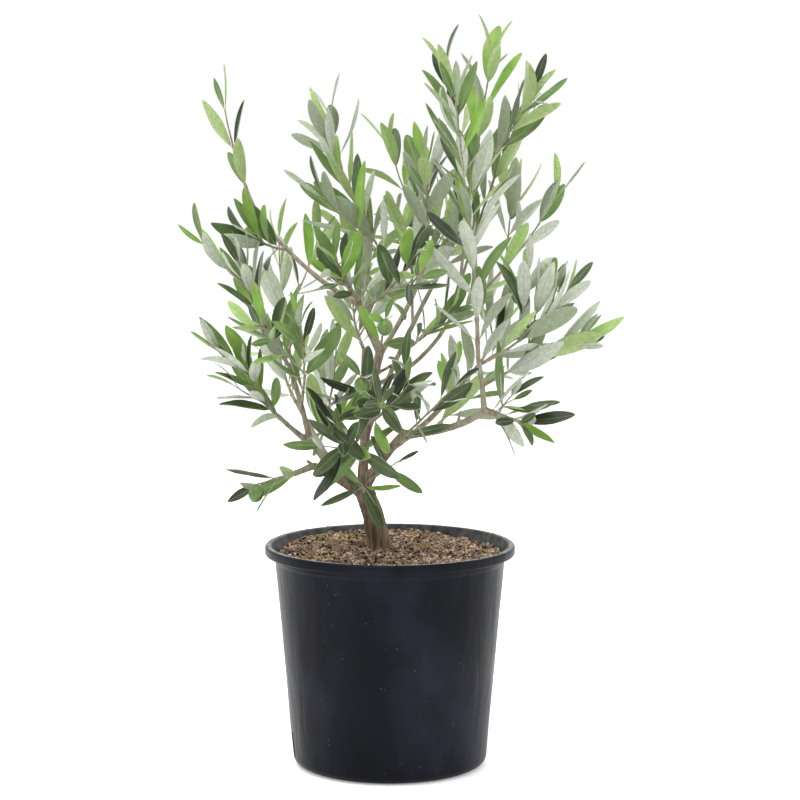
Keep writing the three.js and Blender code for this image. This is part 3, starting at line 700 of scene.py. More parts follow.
class Finish:
    """A node material being wired: a surface shader, its output and short ways to add nodes."""

    def __init__(self, name, base, roughness, **sockets):
        self.material = bpy.data.materials.new(name)
        self.material.use_nodes = True
        self.tree = self.material.node_tree
        self.tree.nodes.clear()
        self.output = self.node("ShaderNodeOutputMaterial")
        self.surface = self.node("ShaderNodeBsdfPrincipled")
        self.surface.inputs["Base Color"].default_value = (*base, 1)
        self.surface.inputs["Roughness"].default_value = roughness
        for socket, value in sockets.items():
            self.surface.inputs[socket.replace("_", " ")].default_value = value
        self.link(self.surface.outputs[0], self.output.inputs["Surface"])
        self.place = self.node("ShaderNodeTexCoord").outputs["Object"]

    def node(self, kind, **values):
        node = self.tree.nodes.new(kind)
        for key, value in values.items():
            if hasattr(node, key):
                setattr(node, key, value)
            else:
                node.inputs[key.replace("_", " ")].default_value = value
        return node

    def link(self, source, target):
        self.tree.links.new(source, target)

    def stretched(self, scale):
        """The object's coordinates, scaled along each axis."""
        mapping = self.node("ShaderNodeMapping")
        mapping.inputs["Scale"].default_value = scale
        self.link(self.place, mapping.inputs["Vector"])
        return mapping.outputs[0]

    def noise(self, scale, detail=4.0, place=None, **values):
        node = self.node("ShaderNodeTexNoise", Scale=scale, Detail=detail, **values)
        self.link(place or self.place, node.inputs["Vector"])
        return node.outputs["Fac"]

    def ramp(self, source, *stops):
        """A colour ramp through (position, colour) stops."""
        ramp = self.node("ShaderNodeValToRGB")
        elements = ramp.color_ramp.elements
        while len(elements) < len(stops):
            elements.new(0.5)
        for element, (position, tone) in zip(elements, stops):
            element.position = position
            element.color = (*tone, 1)
        self.link(source, ramp.inputs[0])
        return ramp.outputs[0]

    def mask(self, source, low, high, most=1.0):
        """From 0 below low to its most above high."""
        return self.ramp(source, (low, (0, 0, 0)), (high, (most, most, most)))

    def dots(self, scale, full, gone):
        """Scattered dots: white up to one distance from their middle, nothing past the other."""
        cells = self.node("ShaderNodeTexVoronoi", Scale=scale)
        self.link(self.place, cells.inputs["Vector"])
        return self.ramp(cells.outputs["Distance"], (full, (1, 1, 1)), (gone, (0, 0, 0)))

    def mix(self, part, first, second):
        """Two colours mixed by a mask; each is an output or a plain colour."""
        node = self.node("ShaderNodeMix", data_type="RGBA")
        self.link(part, node.inputs["Factor"])
        for socket, value in ((node.inputs[6], first), (node.inputs[7], second)):
            if isinstance(value, tuple):
                socket.default_value = (*value, 1)
            else:
                self.link(value, socket)
        return node.outputs[2]

    def colour_from(self, source):
        self.link(source, self.surface.inputs["Base Color"])

    def roughness_from(self, source, low, high):
        node = self.node("ShaderNodeMapRange")
        node.inputs["To Min"].default_value = low
        node.inputs["To Max"].default_value = high
        self.link(source, node.inputs["Value"])
        self.link(node.outputs[0], self.surface.inputs["Roughness"])

    def bump_from(self, source, strength, distance):
        node = self.node("ShaderNodeBump", Strength=strength, Distance=distance)
        self.link(source, node.inputs["Height"])
        self.link(node.outputs[0], self.surface.inputs["Normal"])

    def lit_through(self, tone, part):
        """Lets part of the light through the surface in another tone."""
        through = self.node("ShaderNodeBsdfTranslucent")
        through.inputs["Color"].default_value = (*tone, 1)
        both = self.node("ShaderNodeMixShader")
        both.inputs[0].default_value = part
        self.link(self.surface.outputs[0], both.inputs[1])
        self.link(through.outputs[0], both.inputs[2])
        self.link(both.outputs[0], self.output.inputs["Surface"])


def shaded(tone, factor):
    return tuple(min(1.0, part * factor) for part in tone)


# Upper sides, from darkest to lightest: colour, and the colour of light that comes through. The
# darkest is painted shade, the dark look of leaves deep in the crown's shade; the lightest is painted
# light, the glow of leaves with light behind them.
LEAF_TOPS = {
    "deep": ((0.058, 0.074, 0.049), (0.05, 0.09, 0.020)),
    "green": ((0.106, 0.147, 0.078), (0.16, 0.27, 0.060)),
    "fresh": ((0.180, 0.265, 0.100), (0.29, 0.50, 0.080)),
    "bright": ((0.270, 0.410, 0.100), (0.52, 0.88, 0.100)),
}
# Undersides: the felted grey-green that shows wherever a blade turns over.
LEAF_UNDERS = {
    "sage": ((0.390, 0.440, 0.320), (0.28, 0.38, 0.17)),
    "silver": ((0.680, 0.720, 0.610), (0.38, 0.46, 0.26)),
    "lime": ((0.470, 0.600, 0.260), (0.48, 0.76, 0.13)),
}
STALK = (0.400, 0.440, 0.130)
# A pale colour for the blade's edge: a painted rim highlight, where light catches the margin.
MARGIN_HIGHLIGHT = (0.350, 0.420, 0.240)
RIB_UNDER = (0.330, 0.380, 0.200)
RIB_MIX = {"lighter": 1.7, "blade": 0.55, "stalk": 0.45}
UNDER_THROUGH = 0.8  # of the light that an upper side lets through
# For each tint of a spray: how often each upper side and each underside is dealt. The shade tint gives
# the low sprays at the front more of the darkest upper sides, painted shade; the light tint gives
# sprays high in the crown and at the back more of the lightest, painted light; grey and middle are
# plain mixes.
TINTS_AND_SHADE = {
    "shade": ((0.25, 0.35, 0.31, 0.09), (0.24, 0.68, 0.08)),
    "grey": ((0.13, 0.32, 0.37, 0.18), (0.24, 0.66, 0.10)),
    "middle": ((0.17, 0.33, 0.32, 0.18), (0.32, 0.48, 0.20)),
    "light": ((0.12, 0.26, 0.32, 0.30), (0.28, 0.38, 0.34)),
}


def leaf_materials(settings):
    """Upper sides, undersides, midribs, stalk and margin, in the order of the leaves' slots; the
    margin's pale colour is a painted rim highlight.
    """
    made = []
    for name, (tone, through) in LEAF_TOPS.items():
        finish = Finish(f"leaf_{name}", tone, roughness=0.42, Specular_IOR_Level=0.40)
        patches = finish.noise(48.0, 4.0)
        finish.colour_from(finish.ramp(patches, (0.32, shaded(tone, 0.66)), (0.5, tone),
                                       (0.70, shaded(tone, 1.42))))
        finish.roughness_from(patches, low=0.34, high=0.5)
        finish.bump_from(finish.noise(700.0, 3.0), strength=0.10, distance=0.0003)
        finish.lit_through(through, settings.light_through)
        made.append(finish.material)
    for name, (tone, through) in LEAF_UNDERS.items():
        finish = Finish(f"leaf_under_{name}", tone, roughness=0.66, Specular_IOR_Level=0.25,
                        Sheen_Weight=0.2, Sheen_Roughness=0.4)
        felt = finish.noise(260.0, 5.0)
        finish.colour_from(finish.ramp(felt, (0.32, shaded(tone, 0.82)), (0.7, shaded(tone, 1.12))))
        finish.lit_through(through, settings.light_through * UNDER_THROUGH)
        made.append(finish.material)
    plain = {f"midrib_{name}": rib_tone(tone) for name, (tone, _) in LEAF_TOPS.items()}
    plain |= {"midrib_under": RIB_UNDER, "leaf_stalk": STALK, "leaf_margin": MARGIN_HIGHLIGHT}
    for name, tone in plain.items():
        finish = Finish(name, tone, roughness=0.5, Specular_IOR_Level=0.3)
        veins = finish.noise(300.0, 2.0)
        finish.colour_from(finish.ramp(veins, (0.3, shaded(tone, 0.8)), (0.7, shaded(tone, 1.15))))
        made.append(finish.material)
    return made


def rib_tone(tone):
    """A midrib's colour: the blade's, lighter and drawn towards the stalk's."""
    pairs = zip(shaded(tone, RIB_MIX["lighter"]), STALK)
    return tuple(RIB_MIX["blade"] * blade + RIB_MIX["stalk"] * stalk for blade, stalk in pairs)


GREEN_GROWTH = (0.200, 0.195, 0.085)  # algae on the bark
FLECK = (0.210, 0.165, 0.100)
DUST = (0.160, 0.145, 0.130)
# The film on the pot's inside, from clean to dusty.
FILM = ((0.022, 0.023, 0.026), (0.060, 0.061, 0.062), (0.120, 0.113, 0.103))


def bark_material(name, pale, dark):
    """Grey-brown bark: fine streaks along the wood, pale scurf, dark pores and some green growth."""
    finish = Finish(name, dark, roughness=0.84, Specular_IOR_Level=0.22)
    streaks = finish.noise(300.0, 7.0, finish.stretched((1.0, 1.0, 0.14)), Distortion=0.4)
    base = finish.ramp(streaks, (0.34, shaded(dark, 0.62)), (0.46, dark), (0.58, pale),
                       (0.76, shaded(pale, 1.25)))
    scurf = finish.mask(finish.noise(60.0, 6.0), low=0.50, high=0.66, most=0.55)
    toned = finish.mix(scurf, base, shaded(pale, 1.12))
    growth = finish.mask(finish.noise(42.0, 4.0), low=0.57, high=0.74, most=0.4)
    green = finish.mix(growth, toned, GREEN_GROWTH)
    pores = finish.mask(finish.noise(850.0, 3.0), low=0.64, high=0.74, most=0.7)
    finish.colour_from(finish.mix(pores, green, shaded(dark, 0.4)))
    grain = finish.noise(900.0, 5.0, finish.stretched((1.0, 1.0, 0.35)))
    finish.bump_from(grain, strength=0.45, distance=0.0005)
    return finish.material


def twig_material(settings):
    """This year's wood: smooth grey-green with brown flecks."""
    tone = tuple(settings.young_bark)
    finish = Finish("young_bark", tone, roughness=0.7, Specular_IOR_Level=0.3)
    flecks = finish.noise(420.0, 5.0)
    finish.colour_from(finish.ramp(flecks, (0.32, FLECK), (0.46, tone), (0.74, shaded(tone, 1.25))))
    finish.bump_from(finish.noise(1600.0, 3.0), strength=0.25, distance=0.0002)
    return finish.material


def plastic_material(settings):
    """Charcoal plastic: satin, with a fine grain, faint drawn streaks, scuffs and dust."""
    tone = tuple(settings.colour)
    finish = Finish("pot_plastic", tone, roughness=0.34, Specular_IOR_Level=0.09)
    clouds = finish.noise(13.0, 5.0, finish.stretched((1.0, 1.0, 0.7)))
    streaks = finish.noise(75.0, 6.0, finish.stretched((1.0, 1.0, 0.09)), Distortion=0.4)
    plain = finish.ramp(clouds, (0.34, shaded(tone, 0.55)), (0.50, tone), (0.70, shaded(tone, 2.6)))
    streaky = finish.mask(streaks, low=0.60, high=0.82, most=0.5)
    worn = finish.mix(streaky, plain, shaded(tone, 3.4))
    few = finish.mask(finish.noise(40.0, 3.0), low=0.56, high=0.68)
    dust = finish.node("ShaderNodeMath", operation="MULTIPLY")
    finish.link(finish.dots(190.0, full=0.05, gone=0.12), dust.inputs[0])
    finish.link(few, dust.inputs[1])
    finish.colour_from(finish.mix(dust.outputs[0], worn, DUST))
    rubbed = finish.noise(34.0, 6.0, finish.stretched((1.0, 1.0, 0.4)))
    finish.roughness_from(rubbed, low=0.22, high=0.5)
    ripples = finish.noise(48.0, 6.0, finish.stretched((1.0, 1.0, 0.30)), Distortion=0.7)
    finish.bump_from(ripples, strength=0.55, distance=0.0018)
    return finish.material


def dusty_material(settings):
    """The same plastic where it faces inwards, greyed by dust and splashed earth."""
    finish = Finish("pot_inside", tuple(settings.colour), roughness=0.55, Specular_IOR_Level=0.2)
    film = finish.noise(90.0, 6.0)
    finish.colour_from(finish.ramp(film, *zip((0.32, 0.52, 0.74), FILM)))
    finish.bump_from(finish.noise(400.0, 4.0), strength=0.3, distance=0.0004)
    return finish.material


def earth_material(name, tone, spot):
    """One kind of crumb or fibre, mottled towards a second colour."""
    finish = Finish(name, tone, roughness=0.95, Specular_IOR_Level=0.12)
    mottle = finish.noise(380.0, 5.0)
    finish.colour_from(finish.ramp(mottle, (0.30, shaded(tone, 0.6)), (0.50, tone), (0.78, spot)))
    finish.bump_from(finish.noise(900.0, 4.0), strength=0.6, distance=0.0006)
    return finish.material


def soil_material(settings):
    """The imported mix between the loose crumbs."""
    dark, light = tuple(settings.dark), tuple(settings.light)
    finish = Finish("potting_mix", dark, roughness=0.97, Specular_IOR_Level=0.1)
    lumps = finish.noise(520.0, 8.0, Distortion=0.6)
    finish.colour_from(finish.ramp(lumps, (0.34, shaded(dark, 0.5)), (0.48, dark),
                                   (0.58, shaded(light, 0.5)), (0.74, light)))
    finish.bump_from(finish.noise(700.0, 6.0), strength=0.8, distance=0.0012)
    return finish.material


def olive_material(settings):
    """Unripe skin: a soft gloss and pale pores."""
    tone = tuple(settings.colour)
    finish = Finish("olive_skin", tone, roughness=0.34, Specular_IOR_Level=0.4, Coat_Weight=0.08)
    patches = finish.noise(140.0, 3.0)
    skin = finish.ramp(patches, (0.34, shaded(tone, 0.8)), (0.7, shaded(tone, 1.25)))
    pores = finish.dots(720.0, full=0.10, gone=0.20)
    finish.colour_from(finish.mix(pores, skin, shaded(tone, 2.0)))
    finish.bump_from(finish.noise(500.0, 2.0), strength=0.08, distance=0.0003)
    return finish.material


def fruit_stalk_material():
    finish = Finish("fruit_stalk", STALK, roughness=0.6, Specular_IOR_Level=0.3)
    tone = finish.noise(300.0, 3.0)
    finish.colour_from(finish.ramp(tone, (0.3, shaded(STALK, 0.6)), (0.7, STALK)))
    return finish.material


def floor_material():
    """A near-white floor, lifted a little so that it meets the white surroundings."""
    finish = Finish("pale_floor", (0.86, 0.86, 0.86), roughness=0.7, Specular_IOR_Level=0.1,
                    Emission_Color=(1, 1, 1, 1), Emission_Strength=0.3)
    tone = finish.noise(2.0, 2.0)
    finish.colour_from(finish.ramp(tone, (0.3, (0.85, 0.85, 0.85)), (0.7, (0.87, 0.87, 0.87))))
    return finish.material


# ---- The pot's shape -------------------------------------------------------------------------

POT_SIDES = 192
SLOTS = {"bearings": (190, 10), "width": 12, "bottom": 8, "top": 33, "from": 82, "to": 104}
DRAIN = {"count": 6, "radius": 6, "ring": 60, "sides": 32, "flat": 20, "bottom": -6, "top": 8}
FOOT_RISE = 9
POT_FLOOR = 3
WALL_RINGS = {"outside": 44, "inside": 20, "neck": 8}  # and how far below the lip they end
# Where the pot's section bends, each as millimetres outwards and upwards from a named corner.
UNDERSIDE = ((-2, 0), (0, 0.1), (4.5, 0.7))
HEEL = ((-3.2, 2.6), (-1.2, 5.0), (-0.3, 7.2))
BEAD = ((-0.2, -5.4), (0.5, -4.6), (0.6, -2), (1.0, -0.6))
LIP_FOOT, LIP_SIDE, LIP_INSIDE, NECK_INSIDE = (-2.4, -0.2), (-0.15, -5.0), (1.0, 1.0), (0.2, -3)
BOTTOM_INSIDE = ((-2, 1.4), (-5, 0))
LIP_ARCS = {"lower": 2.2, "roll": 3.0, "inner": 2.4, "inner_at": 4.2}
# How the wall strays from round: where it starts and stops, and its two sizes of waves.
STRAY = {"fade_in": 30, "top": 204, "fade_out": 12}
SWELL = {"size": 2.0, "waves": 1.6, "rise": 0.011, "layer": 0}
RIPPLE = {"size": 0.55, "waves": 7, "rise": 0.02, "layer": 5}


def arc(centre, radius, start, end, steps):
    """Places on an arc in the pot's section, as (radius, height)."""
    angles = np.radians(np.linspace(start, end, steps))
    return [(centre[0] + radius * math.cos(a), centre[1] + radius * math.sin(a)) for a in angles]


def bends(corner, offsets):
    """Places of the pot's section at offsets from one of its corners."""
    return [(corner[0] + out, corner[1] + up) for out, up in offsets]


def pot_section(pot):
    """The pot's section from the axis under the floor, up the outside, over the rim and back."""
    height, wall, rim = pot.height / MM, pot.wall / MM, pot.rim_radius / MM
    base, foot = pot.base_radius / MM, pot.foot_radius / MM
    lip_foot = height - pot.lip_height / MM
    lower, roll, inner = LIP_ARCS["lower"], LIP_ARCS["roll"], LIP_ARCS["inner"]

    def wall_radius(z):
        return base + pot.taper * z

    low, neck = wall_radius(FOOT_RISE), wall_radius(lip_foot)
    wall_top = lip_foot - WALL_RINGS["neck"]
    outside = np.linspace(FOOT_RISE + 1, wall_top, WALL_RINGS["outside"])
    inside = np.linspace(wall_top, FOOT_RISE + 2, WALL_RINGS["inside"])
    return [
        (0, 0), (DRAIN["ring"] - DRAIN["flat"], 0),
        *bends((foot, 0), UNDERSIDE),
        *bends((low, 0), HEEL),
        *[(wall_radius(z), z) for z in outside],
        *bends((neck, lip_foot), BEAD),
        *bends((rim, lip_foot), [LIP_FOOT]),
        *arc((rim - lower, lip_foot + lower), lower, -80, -5, 6),
        *bends((rim, height), [LIP_SIDE]),
        *arc((rim - roll, height - roll), roll, 5, 88, 8),
        *arc((rim - LIP_ARCS["inner_at"], height - inner), inner, 92, 170, 6),
        *bends((neck, lip_foot), [LIP_INSIDE]),
        *bends((neck - wall, lip_foot), [NECK_INSIDE]),
        *[(wall_radius(z) - wall, z) for z in inside],
        *bends((low - wall, POT_FLOOR), BOTTOM_INSIDE),
        (0, POT_FLOOR),
    ]


def lathe(shapes, section, sides, stray):
    """A closed turned shape from a section that starts and ends on the axis."""
    inner = section[1:-1]
    turns = np.arange(sides) / sides * 2 * math.pi
    rings = []
    for radius, height in inner:
        reach = radius + stray(turns, height)
        rings.append(np.stack([reach * np.cos(turns), reach * np.sin(turns),
                               np.full(sides, float(height))], axis=1))
    places = np.concatenate([[(0, 0, section[0][1])], *rings, [(0, 0, section[-1][1])]])
    shapes.add(places, skin_faces(len(inner), sides))


def waves_round(turns, height, form):
    """Noise at each bearing for one height."""
    waves, z = form["waves"], form["layer"] + height * form["rise"]
    places = [Vector((waves * math.cos(t), waves * math.sin(t), z)) for t in turns]
    return form["size"] * np.array([noise.noise(place) for place in places])


def wall_stray(size):
    """How far the wall strays from round at each bearing, for one height; nothing at the foot."""

    def stray(turns, height):
        part = min(1.0, max(0.0, (height - FOOT_RISE) / STRAY["fade_in"]))
        part *= min(1.0, max(0.0, (STRAY["top"] - height) / STRAY["fade_out"]))
        away = waves_round(turns, height, SWELL) + waves_round(turns, height, RIPPLE)
        return part * size * away / MM

    return stray


def pot_cutters():
    """The drain holes and the side slots as one object to cut away."""
    shapes = Shapes()
    for i in range(DRAIN["count"]):
        bearing = (i + 0.5) / DRAIN["count"] * 2 * math.pi
        x, y = DRAIN["ring"] * math.cos(bearing), DRAIN["ring"] * math.sin(bearing)
        ends = [(x, y, DRAIN["bottom"]), (x, y, DRAIN["top"])]
        rod(shapes, ends, [DRAIN["radius"]] * 2, DRAIN["sides"])
    half, near, far = SLOTS["width"] / 2, SLOTS["from"], SLOTS["to"]
    for bearing in SLOTS["bearings"]:
        turn = math.radians(bearing)
        out = np.array([math.cos(turn), math.sin(turn), 0])
        side = np.array([-math.sin(turn), math.cos(turn), 0])
        corners = [out * reach + side * across + UP * z for z in (SLOTS["bottom"], SLOTS["top"])
                   for reach, across in ((near, -half), (far, -half), (far, half), (near, half))]
        shapes.add(corners, ring_faces(2, 4) + [(3, 2, 1, 0), (4, 5, 6, 7)])
    return shapes.object("pot_cutters", [])


# ---- Stage and pot ---------------------------------------------------------------------------

SENSOR = 36.0  # width of the camera's sensor, in millimetres
SKY_TINT = (0.985, 0.99, 1, 1)


class Lamp(NamedTuple):
    """A soft light: the setting with its power, how many times that, its size, place and aim."""

    name: str
    setting: str
    times: float
    size: tuple
    place: tuple
    aim: tuple


LAMPS = (
    Lamp("key", "key", 1, (1.6, 1.2), (-0.5, -0.5, 2.1), (0, 0, 0.4)),
    Lamp("back", "back", 1, (2.4, 1.6), (0.2, 2.2, 1.5), (0, 0, 0.45)),
    Lamp("left_strip", "side", 1, (0.5, 1.6), (-1.9, 0.5, 0.8), (0, 0, 0.3)),
    Lamp("right_strip", "side", 2, (1.4, 1.6), (1.9, -0.25, 0.8), (0, 0, 0.3)),
)


class OLIVE_OT_stage(bpy.types.Operator):
    """Sets the camera, the pale floor and the soft lights"""

    bl_idname = "olive.stage"
    bl_label = "Stage"

    def execute(self, context):
        stage = context.scene.olive_stage
        context.scene.view_settings.view_transform = "Standard"
        self.add_camera(context.scene, stage)
        self.add_floor(stage)
        self.add_sky(context.scene, stage)
        for lamp in LAMPS:
            self.add_lamp(context.scene, lamp, lamp.times * getattr(stage, lamp.setting))
        return {"FINISHED"}

    def add_camera(self, scene, stage):
        lens = bpy.data.cameras.new("camera")
        lens.lens = stage.lens
        lens.sensor_width = SENSOR
        camera = bpy.data.objects.new("camera", lens)
        camera.location = (stage.aside, -stage.distance, stage.height)
        camera.rotation_euler = (math.pi / 2 - stage.pitch, 0, 0)
        scene.collection.objects.link(camera)
        scene.camera = camera

    def add_floor(self, stage):
        shapes = Shapes()
        half = stage.floor_size / 2 / MM
        shapes.add([(-half, -half, 0), (half, -half, 0), (half, half, 0), (-half, half, 0)],
                   [(0, 1, 2, 3)])
        floor = shapes.object("floor", [floor_material()])

    def add_sky(self, scene, stage):
        """White where it is seen; where it lights, stronger from behind the tree."""
        world = bpy.data.worlds.new("studio")
        world.use_nodes = True
        nodes, links = world.node_tree.nodes, world.node_tree.links
        nodes.clear()
        output = nodes.new("ShaderNodeOutputWorld")
        both = nodes.new("ShaderNodeMixShader")
        seen, lights = nodes.new("ShaderNodeBackground"), nodes.new("ShaderNodeBackground")
        seen.inputs["Color"].default_value = (1, 1, 1, 1)
        lights.inputs["Color"].default_value = SKY_TINT
        way, depth = nodes.new("ShaderNodeSeparateXYZ"), nodes.new("ShaderNodeMapRange")
        depth.inputs["From Min"].default_value = -1
        depth.inputs["To Min"].default_value = stage.sky_front
        depth.inputs["To Max"].default_value = stage.sky_back
        links.new(nodes.new("ShaderNodeTexCoord").outputs["Generated"], way.inputs[0])
        links.new(way.outputs["Y"], depth.inputs["Value"])
        links.new(depth.outputs[0], lights.inputs["Strength"])
        links.new(nodes.new("ShaderNodeLightPath").outputs["Is Camera Ray"], both.inputs[0])
        links.new(lights.outputs[0], both.inputs[1])
        links.new(seen.outputs[0], both.inputs[2])
        links.new(both.outputs[0], output.inputs[0])
        scene.world = world

    def add_lamp(self, scene, lamp, power):
        area = bpy.data.lights.new(lamp.name, "AREA")
        area.shape = "RECTANGLE"
        area.size, area.size_y = lamp.size
        area.energy = power
        light = bpy.data.objects.new(lamp.name, area)
        light.location = lamp.place
        way = Vector(lamp.aim) - Vector(lamp.place)
        light.rotation_euler = way.to_track_quat("-Z", "Y").to_euler()
        light.visible_camera = False
        scene.collection.objects.link(light)


class OLIVE_OT_pot(bpy.types.Operator):
    """Makes the moulded pot with its rolled rim, side slots and drain holes"""

    bl_idname = "olive.pot"
    bl_label = "Pot"

    def execute(self, context):
        pot = context.scene.olive_pot
        shapes = Shapes()
        lathe(shapes, pot_section(pot), POT_SIDES, wall_stray(pot.waviness))
        piece = shapes.object("nursery_pot", [plastic_material(pot), dusty_material(pot)])
        cutters = pot_cutters()
        cut = piece.modifiers.new("cut", "BOOLEAN")
        cut.operation = "DIFFERENCE"
        cut.solver = "EXACT"
        cut.object = cutters
        mesh = evaluated(piece, "nursery_pot")
        finish_mesh(mesh, sharp=40)
        for face in mesh.polygons:
            face.material_index = int(face.center.xy.dot(face.normal.xy) < 0)
        bpy.data.objects.remove(cutters)
        settle(piece, "pot", "pot")
        return {"FINISHED"}


# ---- Soil ------------------------------------------------------------------------------------

SOIL = {"edge": 204, "middle": 209, "slope": 4.4, "slope_way": (-0.45, 0.8), "floor": 3.3,
        "rings": 110, "sides": 300, "gap": 0.6, "swell": 1.1}
# How often each kind of crumb is dealt: peat, bark, coir, dry coir and red bark; the rest is moss.
CRUMBS_DRY = np.array([0.12, 0.12, 0.22, 0.50, 0.04])
CRUMBS_DAMP = np.array([0.54, 0.28, 0.10, 0.05, 0.03])
CRUMB = {"least": 0.4, "more": 1.15, "raised": 0.25, "from_edge": 2, "rings": 3, "sides": 5}
RIM_CRUMB = {"each": 90, "inset": 3.6, "strewn": 1.2, "size": 0.6}
CRUMB_FORM = {"longer": 0.9, "flat": (0.5, 0.9), "tilt": 0.45, "dents": 0.55, "waves": 1.7}
# Noise over the ground: waves to a millimetre and the layer it is read in.
BED_SWELL, MOSS_PATCH, DAMP_PATCH = (0.022, 3.1), (0.035, 1.7), (0.11, 4.4)
CLODS = {"waves": 0.16, "layer": 7.7, "fractal": (0.7, 2.2, 5)}
BED_CORNER = {"inset": 6, "cut": 0.5, "rise": 2}  # the bed's lower edge is cut off aslant
DAMP_GAIN = 2.6
MOSS = {"gain": 1.5, "bare": 0.20, "back_left": 0.26, "least": 0.01, "most": 0.62}
FIBRE = {"from_edge": 5, "curl": 1.3, "least": 4, "longer": 14, "rise": 3.2, "thin": 0.08,
         "stouter": 0.10, "raised": 0.5, "steps": 6, "sides": 3, "turned_at": 3, "turned_in": 0.97}
# The share of fibres that are tan, and the share that are tan or brown; the others are moss.
FIBRES_DRY, FIBRES_MOSSY = (0.55, 0.97), (0.40, 0.55)
FIBRE_MOSS = {"back_left": 0.20, "over": 0.16}
RED_BARK, BROWN_BARK, BROWN_FIBRE = (0.300, 0.130, 0.058), (0.170, 0.105, 0.068), (0.190, 0.110, 0.064)


def soil_radius(pot):
    """To the outside of the mix where it meets the wall."""
    height = min(SOIL["edge"], (pot.height - pot.lip_height) / MM)
    return pot.base_radius / MM + pot.taper * height - pot.wall / MM - SOIL["gap"]


def ground_noise(x, y, waves, layer):
    """Noise over the ground: finer with more waves, and different in each layer."""
    return noise.noise(Vector((x * waves, y * waves, layer)))



def soil_height(x, y, edge, rough):
    """Height of the mix at a place: a slight heap, fuller at the back, swells and lumps."""
    part = math.hypot(x, y) / edge
    heap = lerp(SOIL["middle"], SOIL["edge"], part**2)
    aside, back = SOIL["slope_way"]
    heap += SOIL["slope"] * max(0.0, (back * y + aside * x) / edge)
    swell = SOIL["swell"] * ground_noise(x, y, *BED_SWELL)
    at = Vector((x * CLODS["waves"], y * CLODS["waves"], CLODS["layer"]))
    return heap + rough * (swell + noise.fractal(at, *CLODS["fractal"]))


